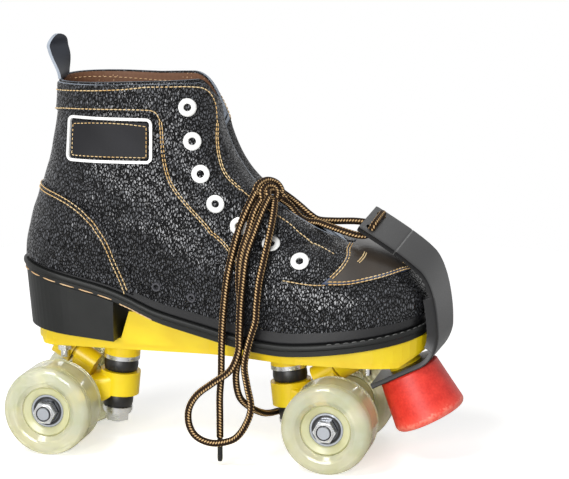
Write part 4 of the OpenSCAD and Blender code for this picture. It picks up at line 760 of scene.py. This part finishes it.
tongue = {"girths": (0.385, 0.985), "drop": (0.6, 7.6), "crown": (2.5, 10), "half": (9, 22), "inner": (1.92, 0, 1.44)}
tongueJ, tongueK = np.meshgrid(np.linspace(0, 9, 60), np.linspace(5, -5, 40), indexing="ij")
tongueV = mix(*tongue["girths"], tongueJ/9)
tongueDrop = mix(*tongue["drop"], smooth(tongueJ/3))
tongueMid = bootOffset(np.zeros_like(tongueV), tongueV, -boot["leather"] - tongueDrop)
crown = mix(*tongue["crown"], tongueJ/9)*tongueK**2/25
tongueSide = mix(*tongue["half"], smooth(tongueJ/4))*tongueK/5
tongueOut = np.stack([tongueMid[..., 0] - crown*1.2, tongueSide, tongueMid[..., 2] - crown], -1)
sheetPiece("tongue", tongueOut, tongueOut - tongue["inner"], [blackLeather, cutEdge], ("tongue",), "black_leather")


def soleRing(q, out, dz):
    level = np.zeros_like(q)
    p, t = bootAt(q, level), bootAt(q + 0.002, level) - bootAt(q - 0.002, level)
    edge = p[..., :2] + out*unit(np.stack([-t[..., 1], t[..., 0]], -1))
    return np.column_stack([edge, feather(np.clip(edge[:, 0], boot["heelX"], toeX)) + dz])


def soleLoft(name, profile, material, replaced, slot):  # layers of outline, closed above and below by strips
    q = np.linspace(0, 1, 361)[:-1]
    points = np.vstack([soleRing(q, out, dz) for out, dz in profile])
    count = len(q)
    faces = gridFaces(len(profile), count, wrap=True)
    half = count//2
    for base, flip in ((0, True), ((len(profile) - 1)*count, False)):
        for k in range(half):
            a, b = base + k, base + k + 1
            c, d = base + (count - k - 1) % count, base + (count - k) % count
            face = (a, b, d) if k == half - 1 else (a, b, c, d) if k else (a, b, c)
            faces.append(face[::-1] if flip else face)
    makePiece(name, points, faces, material, "boot", replaced, slot, 40)


lip, thick = boot["lipOut"], boot["soleThick"]
soleLoft("insole", [(-3.2, 0.2), (-3.2, 2.8), (-3.7, 3.2)], insoleBoard, ("insole",), "tan_insole")
soleLoft("outsole", [(lip - 1.7, -thick), (lip - 1.2, -thick + 0.4), (lip - 1.2, -3.7), (lip - 0.7, -3.3),
                     (lip - 0.15, -3.0), (lip, -2.4), (lip, -1.1), (lip - 0.25, -0.4), (lip - 0.8, 0),
                     (lip - 1.5, 0.15), (-0.5, 0.15)],
         blackRubber, ("outsole",), "black_rubber")

tab = {"width": 17, "thick": 2, "inset": 2.2, "baseZ": 241.05, "topZ": 269.5, "lean": 6.5, "curl": 3, "twist": 26}


def tabRow(t, depth):
    t = t[:, None]
    k = np.linspace(-1, 1, 17)[None]
    tip = (t - 0.7)/0.3  # the rounded end
    lean = tab["lean"]*t**1.5 - tab["curl"]*smooth(tip)
    half = tab["width"]/2*np.sqrt(np.maximum(0.02, 1 - np.maximum(0, tip)**2))
    twist = np.radians(tab["twist"]*smooth((t - 0.02)/0.6))
    x = boot["collarBackX"] + tab["inset"] + tab["thick"]/2 - lean - depth
    return np.stack([x + k*half*np.sin(twist), k*half*np.cos(twist), mix(tab["baseZ"], tab["topZ"], t) + 0*k], -1)


tabT = 1 - (1 - np.linspace(0, 1, 60))**1.8
sheetPiece("pullTab", tabRow(tabT, tab["thick"]), tabRow(tabT, 0), [tabLeather, cutEdge], ("pull_tab",),
           "navy_leather")
print("lining, tongue, sole and tab made")


# stitching: each stitch is one short rounded turn of thread standing proud of the leather
thread = {  # pitch, length and diameter in mm
    "seam": (2.9, 2.6, 0.75), "tack": (1.4, 1.6, 0.75), "patch": (2.8, 2.2, 0.65), "hem": (3.4, 2.2, 0.7),
    "welt": (13.2, 11, 0.85), "arch": (3.0, 3.6, 0.8), "dashHighlight": (5.3, 3.6, 0.5)}
threadLift = 0.05
stitches = {}  # points and faces of each group


def stitchCapsules(group, line, normals, kind):
    run, (pitch, length, diameter) = runAlong(line), thread[kind]
    points, faces = stitches.setdefault(group, ([], []))
    dip = np.array([-0.3, 0.12, 0.2, 0.12, -0.3])[:, None]  # both ends go into the leather
    radius = diameter/2*np.array([0.55, 0.95, 1, 0.95, 0.55])
    for at in np.arange(pitch/2, run[-1], pitch):
        ts = at + length*np.linspace(-0.5, 0.5, 5)
        p = np.stack([np.interp(ts, run, line[:, k]) for k in range(3)], 1)
        n = unit(np.stack([np.interp(at, run, normals[:, k]) for k in range(3)]))
        joinMesh(points, faces, *tubeMesh(p + dip*n, radius, 6))


def stitchOnBoot(spots, lift, rows=(0.0,), kind="seam"):  # the same on both sides of the boot
    fine = smoothLine(np.asarray(spots)*trimScale, 1.5)/trimScale
    for q, flip in ((fine[:, 0], 1), (1 - fine[:, 0], -1)):
        v = np.minimum(fine[:, 1], collarEdge(q) - 0.012)
        line, normals = bootOffset(q, v, lift), bootNormal(q, v)
        sideways = unit(np.cross(np.gradient(line, axis=0), normals))*flip
        for shift in rows:
            stitchCapsules("stitching", line + shift*sideways, normals, kind)


def sewGroup(group, material, slot):
    makePiece(group, *stitches[group], material, "boot", (), slot)


onTrim, onVamp = trim["thick"] + threadLift, vamp["thick"] + threadLift
# along the collar's top, then down beside the throat with a doubled stretch
stitchOnBoot([(0.5, 0.952), (0.467, 0.958), (0.366, 0.971), (0.302, 0.977), (0.25, 0.982), (0.202, 0.988),
              (0.138, 0.988), (0.099, 0.986), (0.074, 0.982), (0.05, 0.97), (0.036, 0.948), (0.042, 0.91)], onTrim)
stitchOnBoot([(0.042, 0.91), (0.062, 0.868), (0.08, 0.81), (0.089, 0.754), (0.082, 0.699)], onTrim, (-0.7, 0.7))
stitchOnBoot([(0.082, 0.699), (0.076, 0.618), (0.075, 0.534), (0.087, 0.461), (0.096, 0.39), (0.102, 0.34),
              (0.103, 0.312)], onTrim)
# lower edge of the collar band, then back edge of the eyestay
stitchOnBoot([(0.5, 0.874), (0.467, 0.878), (0.39, 0.901), (0.304, 0.92), (0.222, 0.931), (0.196, 0.928),
              (0.188, 0.905)], onTrim)
stitchOnBoot([(0.188, 0.905), (0.191, 0.87), (0.206, 0.758), (0.214, 0.666), (0.215, 0.56), (0.215, 0.447),
              (0.216, 0.295), (0.216, 0.215)], onTrim, (-0.75, 0.75))
# heel counter, then the short seam between eyestay and vamp patch
stitchOnBoot([(0.5, 0.508), (0.435, 0.506), (0.39, 0.495), (0.362, 0.461), (0.344, 0.396), (0.337, 0.32),
              (0.332, 0.237), (0.329, 0.153), (0.325, 0.089), (0.319, 0.02)], onTrim, (0.0, 2.5))
stitchOnBoot([(0.2, 0.216), (0.185, 0.197), (0.173, 0.188), (0.158, 0.18), (0.146, 0.18)], 0.15)
patchSeam = np.linspace(0.372, 0.2, 12)
stitchOnBoot(np.column_stack([patchEdge(patchSeam) - 0.006, patchSeam]), onVamp, (0.0, 1.7))  # vamp patch
stitchOnBoot([(0.141, 0.19), (0.121, 0.188), (0.092, 0.197), (0.044, 0.209), (0.017, 0.205), (0, 0.204)], onVamp,
             (0.0, 1.7))
for ends in ([(0.09, 0.262), (0.056, 0.308)], [(0.022, 0.222), (0.008, 0.236)]):  # bar tacks
    stitchOnBoot(ends, onVamp, (-0.7, 0.7), "tack")
sewGroup("stitching", goldThread, "black_leather")

loopX = patch["x"] + 24.6*np.array([1, 0.5, 0, -0.5, -1, -1, -1, -0.5, 0, 0.5, 1, 1, 1])
loopZ = patch["z"] + np.array([9.2, 10.4, 10.8, 10.4, 9.2, 0, -10.6, -10.6, -10.6, -10.6, -10.6, 0, 9.2])
loopLine = evenly(np.column_stack([loopX, loopZ]), 1.5)
loopQ, loopV = sideSpot(loopLine[:, 0], loopLine[:, 1])
stitchCapsules("patchStitching", bootOffset(loopQ, loopV, patch["thick"] + threadLift), bootNormal(loopQ, loopV),
               "patch")
sewGroup("patchStitching", goldThread, "patch_leather")

hem = {"turns": (0.93, 0.56), "below": 0.022}  # of the lining, on its inner face
hemQ = np.linspace(*hem["turns"], 300)
for q in (hemQ, 1 - hemQ):
    hemV = collarEdge(q) - hem["below"]
    hemLine = bootOffset(q, hemV, -boot["leather"] - boot["lining"] - lining["faces"][1])
    stitchCapsules("hemStitching", hemLine, -bootNormal(q, hemV), "hem")
sewGroup("hemStitching", weltThread, "brown_lining")


def soleOutward(line):
    t = unit(np.gradient(line, axis=0))
    return np.column_stack([-t[:, 1], t[:, 0], np.zeros(len(t))])


welt = {"heel": (0.331, 0.669), "drop": 6, "arch": (0.298, 0.326)}
weltLine = soleRing(np.linspace(*welt["heel"], 400), lip - 1.2, -welt["drop"])
stitchCapsules("weltStitching", weltLine, soleOutward(weltLine), "welt")
for flip in (1, -1):  # the thread lies open along the arch, on both sides
    archTurn = np.linspace(*welt["arch"], 60)
    archLine = soleRing(archTurn if flip > 0 else 1 - archTurn, lip - 1.25, -thick + 0.5)
    stitchCapsules("weltStitching", archLine, soleOutward(archLine)*flip, "arch")
sewGroup("weltStitching", weltThread, "black_rubber")

# painted highlight: short grey dashes laid along the top of the sole lip at the toe
lipHighlightSpan = {"start": 0.018, "end": 0.15}
highlightDashLine = soleRing(np.linspace(lipHighlightSpan["start"], lipHighlightSpan["end"], 200), lip - 0.7, 0.0)
stitchCapsules("soleLipHighlight", highlightDashLine, np.tile((0.0, 0.0, 1.0), (200, 1)), "dashHighlight")
sewGroup("soleLipHighlight", lipHighlightPaint, "black_rubber")
print("stitching done")


# toe strap: clamped under the toe, wraps it, backed in front of it, and ends above the vamp
strap = {"thick": 3.2, "width": 40, "backing": 4.2, "backed": (1.56, 2.5), "clamp": (-22, 11.5),
         "frontX": 157.2, "holeAt": 3.877, "holeY": 11.5, "hole": 6.5, "creaseAt": 3.46, "groove": 0.3, "edge": 0.8}
lean = math.radians(toeStop["lean"])
strapMid = strap["thick"]/2 + 0.1


def strapPlane(t):
    d = mix(strap["clamp"][0], strap["clamp"][1], t)
    return np.stack([toeStop["x"] + d*math.cos(lean) - strapMid*math.sin(lean),
                     toeStop["z"] + d*math.sin(lean) + strapMid*math.cos(lean)], -1)


turnStart, frontX = strapPlane(np.array(1.0)), strap["frontX"]
strapTurn = [turnStart, turnStart + 8*np.array([math.cos(lean), math.sin(lean)]), (frontX + 1.2, toeZ - 16),
             (frontX + 1.2, toeZ - 6)]
strapRise = [strapTurn[3], (frontX + 0.4, toeZ + 10), (toeX + 8, toeZ + 28), (toeX, toeZ + 37)]
strapFree = [strapRise[3], (toeX - 9, toeZ + 45.5), (toeX - 24.5, toeZ + 55), (toeX - 39.5, toeZ + 63.7)]


def strapFrame(t):  # middle line, direction across and direction to the boot
    def centre(t):
        parts = [strapPlane(np.clip(t, 0, 1))] + [bezier(c, np.clip(t - k, 0, 1)) for k, c in
                                                  ((1, strapTurn), (2, strapRise), (3, strapFree))]
        k = np.clip(np.ceil(t) - 1, 0, 3).astype(int)
        xz = np.take_along_axis(np.stack(parts), k[None, :, None], 0)[0]
        return np.column_stack([xz[:, 0], 2*smooth(t - 1), xz[:, 1]])
    across = unit(np.column_stack([0.11*smooth(t - 1), np.ones_like(t), 0.18*smooth(t - 2.2)]))
    along = unit(centre(np.minimum(4, t + 0.02)) - centre(np.maximum(0, t - 0.02)))
    return centre(t), across, unit(np.cross(along, across))


backStart, backEnd = strap["backed"]
strapT = np.unique(np.concatenate([np.linspace(0, 4, 220),
                                   [backStart - 0.006, backStart, backEnd, backEnd + 0.006, 3.995],
                                   strap["creaseAt"] + np.array([-0.012, -0.006, 0, 0.006, 0.012])]))
strapLine, strapAcross, strapUp = strapFrame(strapT)
backed = (strapT > backStart - 0.003) & (strapT < backEnd + 0.003)
inner = strap["thick"]/2 + np.where(backed, strap["backing"], 0)
groove = strap["groove"]*np.maximum(0, 1 - np.abs(strapT - strap["creaseAt"])/0.012)
outer = -strap["thick"]/2 + groove
half = strap["width"]/2*np.where(strapT > 3.97, 1 - 0.04*((strapT - 3.97)/0.03)**2, 1)
narrow = 1 - 0.3*smooth((strapT - 0.8)/0.4)*(1 - smooth((strapT - 1.5)/0.8))  # the far edge turns in below the toe
edgeRound, broad = strap["edge"], np.linspace(-1, 1, 15)
arc = np.radians(np.linspace(0, 90, 5))[1:-1]
ring = [(side, 1, 0.0) for side in broad] + [(1, math.cos(a), 1 - math.sin(a)) for a in arc]
ring += [(side, -1, 0.0) for side in broad[::-1]] + [(-1, -math.cos(a), 1 - math.sin(a)) for a in arc]
strapRings = np.stack([
    strapLine + (share*((half*narrow if share > 0 else half) - edgeRound*(1 - bow)))[:, None]*strapAcross
    + mix((inner + outer)/2, inner if level >= 0 else outer, abs(level))[:, None]*strapUp
    for share, level, bow in ring], 1)
rows, cols = strapRings.shape[:2]
strapFaces = gridFaces(rows, cols, wrap=True)
strapFaces += [tuple(range(cols)), tuple((rows - 1)*cols + i for i in range(cols - 1, -1, -1))]
inCrease = np.abs((strapT[:-1] + strapT[1:])/2 - strap["creaseAt"]) < 0.007
toeStrap = makePiece("toeStrap", strapRings, strapFaces, [strapLeather, strapCrease], "boot", ("toe_strap",),
                     "strap_leather", None, np.concatenate([np.repeat(inCrease, cols), [0, 0]]))

holeMid, holeAcross, holeUp = strapFrame(np.array([strap["holeAt"]]))  # two holes that the lace goes through
cutPoints, cutFaces = [], []
for side in (-1, 1):
    middle = holeMid[0] + side*strap["holeY"]*holeAcross[0]
    joinMesh(cutPoints, cutFaces,
             *tubeMesh([middle - 6*holeUp[0], middle, middle + 6*holeUp[0]], strap["hole"]/2, 24))
cutter = makePiece("strapCutter", cutPoints, cutFaces, strapLeather, None)
punch = toeStrap.modifiers.new("holes", "BOOLEAN")
punch.operation, punch.object, punch.solver = "DIFFERENCE", cutter, "EXACT"
bpy.context.view_layer.update()
punched = bpy.data.meshes.new_from_object(toeStrap.evaluated_get(bpy.context.evaluated_depsgraph_get()))
toeStrap.modifiers.clear()
toeStrap.data = punched
punched.set_sharp_from_angle(angle=math.radians(42))
bpy.data.objects.remove(cutter)
print("strap bent")


# cushions: rubber barrels squeezed between washer and hanger ring
truck = {"ringX": 59, "ringZ": 39.2, "lean": 6, "pinRadius": 4.85}
cushions = {"upper": {"radius": 11.4, "height": 8.2, "base": 8.0},
            "lower": {"radius": 10, "height": 9, "base": -17.0}}
tilt = math.radians(truck["lean"])
around = np.linspace(0, 2*np.pi, 65)[:-1]
levels = np.linspace(0, 1, 17)
for end, sign in (("front", 1), ("rear", -1)):
    for which, size in cushions.items():
        r = size["radius"] - 0.6 + 0.6*np.sin(np.pi*levels) - 0.35*(np.abs(levels - 0.5) > 0.47)
        r = np.concatenate([[truck["pinRadius"]], r, [truck["pinRadius"]]])
        h = size["base"] + size["height"]*np.concatenate([[0], levels, [1]])
        x = (np.outer(r, np.cos(around))*math.cos(tilt) - h[:, None]*math.sin(tilt)).ravel()
        z = (np.outer(r, np.cos(around))*math.sin(tilt) + h[:, None]*math.cos(tilt)).ravel()
        world = np.column_stack([sign*(truck["ringX"] + x), np.outer(r, np.sin(around)).ravel(), truck["ringZ"] + z])
        piece = makePiece(f"{end}{which.title()}Cushion", world, gridFaces(len(r), 64, flip=sign > 0, wrap=True),
                          cushionRubber, None, (f"{end}_{which}_cushion",), "cushion_rubber", 40)
        ends = [(truck["ringX"] - math.sin(tilt)*at, 0, truck["ringZ"] + math.cos(tilt)*at)
                for at in (size["base"], size["base"] + size["height"])]
        ends = [toFrame(np.multiply(p, (sign, 1, 1))).tolist() for p in (ends[::-1] if which == "upper" else ends)]
        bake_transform(piece)
print("cushions set")


# moulded ribs cast inside each wheel, seen through the clear tyre
wheels = {"axleX": 92.7, "halfTrack": 38, "radius": 29}
wheelPlaces = [(end, side, signX*wheels["axleX"], signY*wheels["halfTrack"])
               for end, signX in (("front", 1), ("rear", -1)) for side, signY in (("right", -1), ("left", 1))]
ribs = {"fans": (150, -20, 65), "perFan": 7, "spread": 40, "inner": 18.2, "outer": 25.5, "width": 0.6, "curl": 0.22,
        "depth": 13.2, "slope": 1.2}
for end, side, x, y in wheelPlaces:
    points, faces = [], []
    for fan in ribs["fans"]:
        for k in range(ribs["perFan"]):
            angle = math.radians(fan + ribs["spread"]*(k/(ribs["perFan"] - 1) - 0.5))
            t = np.linspace(0, 1, 6)
            r, a = mix(ribs["inner"], ribs["outer"], t), angle + ribs["curl"]*t*t
            for outSide in (-1, 1):
                across = y + outSide*(ribs["depth"] - ribs["slope"]*t)
                line = np.column_stack([x + r*np.cos(a), across, wheels["radius"] + r*np.sin(a)])
                joinMesh(points, faces, *tubeMesh(line, ribs["width"]*np.array([0.7, 1, 1, 1, 0.9, 0.5]), 6))
    makePiece(f"{end}{side.title()}Ribs", points, faces, ribUrethane, f"{end}_{side}_wheel", (), "pale_urethane_hub")
print("wheel ribs cast")


# turned rings at each axle end: race and seal on the wheel, locking collar and nylon insert on the truck; the
# insert's black also stands for the shade in the gap round the stud, painted shade
axleEnd = {"bearingY": 10.5, "nutY": 18, "sides": 48,
           "race": [(10.9, 0), (10.7, 0.4), (9.6, 0.4), (9.4, 0)],
           "seal": [(9.3, 0), (9.2, 0.2), (7.9, 0.2), (7.8, 0)],
           "collar": [(6.1, 0), (6.0, 0.6), (5.5, 1.1), (5.0, 1.1), (4.9, 0)],
           # nylon insert; its black is partly painted shade of the gap round the stud
           "insertAndGapShade": [(4.85, 0), (4.8, 0.5), (4.2, 0.5), (4.15, 0)]}


def turnedRing(name, profile, x, y, outSide, material, body, slot):  # profile: radius and height, outer edge first
    a = np.linspace(0, 2*np.pi, axleEnd["sides"] + 1)[:-1]
    r, h = np.array(profile + profile[:1]).T[:, :, None]
    points = np.stack([x + r*np.cos(a), y + outSide*h + 0*a, wheels["radius"] + r*np.sin(a)], -1)
    faces = gridFaces(len(profile) + 1, len(a), flip=outSide < 0, wrap=True)
    makePiece(name, points, faces, material, body, (), slot, 30)


for end, side, x, y in wheelPlaces:
    outSide = 1 if y > 0 else -1
    for part, depth, material, body, slot in (
            ("race", "bearingY", cutSteel, f"{end}_{side}_wheel", "bearing_steel"),
            ("seal", "bearingY", cushionRubber, f"{end}_{side}_wheel", "bearing_steel"),
            ("collar", "nutY", zincSteel, f"{end}_truck", "zinc_steel"),
            ("insertAndGapShade", "nutY", agletPlastic, f"{end}_truck", "zinc_steel")):
        turnedRing(f"{end}{side.title()}{part.title()}", axleEnd[part], x, y + outSide*axleEnd[depth], outSide,
                   material, body, slot)
print("axle ends fitted")


# finishes of the carried-over solids
nodeFinish = {"heel_block": blackRubber, "eyelets": whiteEnamel, "vent_eyelets": blackEnamel,
              "side_patch_frame": whitePlastic, "plate": yellowNylon, "plate_bolts": zincSteel,
              "plate_nuts": zincSteel, "toe_stop": redRubber, "toe_stop_bolt": zincSteel}
for end in ("front", "rear"):
    nodeFinish.update({f"{end}_{part}": finish for part, finish in (
        ("kingpin", zincSteel), ("kingpin_nut", zincSteel), ("cushion_washers", zincSteel), ("axle", cutSteel),
        ("axle_nuts", zincSteel), ("inner_races", bearingSteel), ("pivot_cup", cushionRubber),
        ("hanger", yellowNylon))})
for end, side, x, y in wheelPlaces:
    nodeFinish.update({f"{end}_{side}_tyre": clearUrethane, f"{end}_{side}_hub": hubUrethane,
                       f"{end}_{side}_bearings": bearingSteel})
for name, finish in nodeFinish.items():
    cadNodes[name].data.materials.clear()
    cadNodes[name].data.materials.append(finish)
print("finishes set")


# studio: pale floor, white surroundings, three soft lamps
studio = {"floor": "#f7f7f6", "floorRadius": 0.7, "floorSides": 96, "floorGlow": 0.55, "ambient": 0.25,
          "lampAim": (0, 0, 0.12),
          "lamps": [("frontLamp", (-0.12, -1.65, 0.44), 0.72, 18), ("topLamp", (-0.4, -0.9, 1.4), 0.6, 12),
                    ("rimLamp", (0.2, 1.3, 1.4), 0.8, 4)]}
floorMesh = bpy.data.meshes.new("floor")
floorTurns = np.linspace(0, 2*np.pi, studio["floorSides"] + 1)[:-1]
floorEdge = [(studio["floorRadius"]*math.cos(a), studio["floorRadius"]*math.sin(a), 0) for a in floorTurns]
floorMesh.from_pydata(floorEdge, [], [tuple(range(len(floorEdge)))])
floorPiece = bpy.data.objects.new("floor", floorMesh)
bpy.context.scene.collection.objects.link(floorPiece)
floorMaterial, floorTree, floorShader = newMaterial("paleFloor", studio["floor"], 0.9, Emission_Color=(1, 1, 1, 1))
floorPath = addNode(floorTree, "ShaderNodeLightPath")
addNode(floorTree, "ShaderNodeMath", {"operation": "MULTIPLY"},
        {0: floorPath.outputs["Is Camera Ray"], 1: studio["floorGlow"]}, floorShader.inputs["Emission Strength"])
below = addNode(floorTree, "ShaderNodeNewGeometry")  # from below the floor is clear
clear = addNode(floorTree, "ShaderNodeBsdfTransparent")
addNode(floorTree, "ShaderNodeMixShader", None,
        {0: below.outputs["Backfacing"], 1: floorShader, 2: clear},
        floorTree.nodes["Material Output"].inputs["Surface"])
floorMesh.materials.append(floorMaterial)

world = bpy.data.worlds.new("studio")
bpy.context.scene.world = world
world.use_nodes = True
sky = world.node_tree
sky.nodes.clear()
path = addNode(sky, "ShaderNodeLightPath")
seen = addNode(sky, "ShaderNodeMath", {"operation": "MAXIMUM"},
               {0: path.outputs["Is Camera Ray"], 1: path.outputs["Is Glossy Ray"]})
seen = addNode(sky, "ShaderNodeMath", {"operation": "MAXIMUM"},
               {0: seen, 1: path.outputs["Is Transmission Ray"]})
dim = addNode(sky, "ShaderNodeBackground", None, {"Color": (1, 1, 1, 1), "Strength": studio["ambient"]})
white = addNode(sky, "ShaderNodeBackground", None, {"Color": (1, 1, 1, 1), "Strength": 1.0})
both = addNode(sky, "ShaderNodeMixShader", None, {0: seen, 1: dim, 2: white})
addNode(sky, "ShaderNodeOutputWorld", None, {"Surface": both})

for name, place, size, power in studio["lamps"]:
    lamp = bpy.data.lights.new(name, "AREA")
    lamp.shape, lamp.size, lamp.energy = "DISK", size, power
    lampObject = bpy.data.objects.new(name, lamp)
    lampObject.location = place
    lampObject.rotation_mode = "QUATERNION"
    lampObject.rotation_quaternion = (Vector(place) - Vector(studio["lampAim"])).to_track_quat("Z", "Y")
    bpy.context.scene.collection.objects.link(lampObject)
print("studio lit")
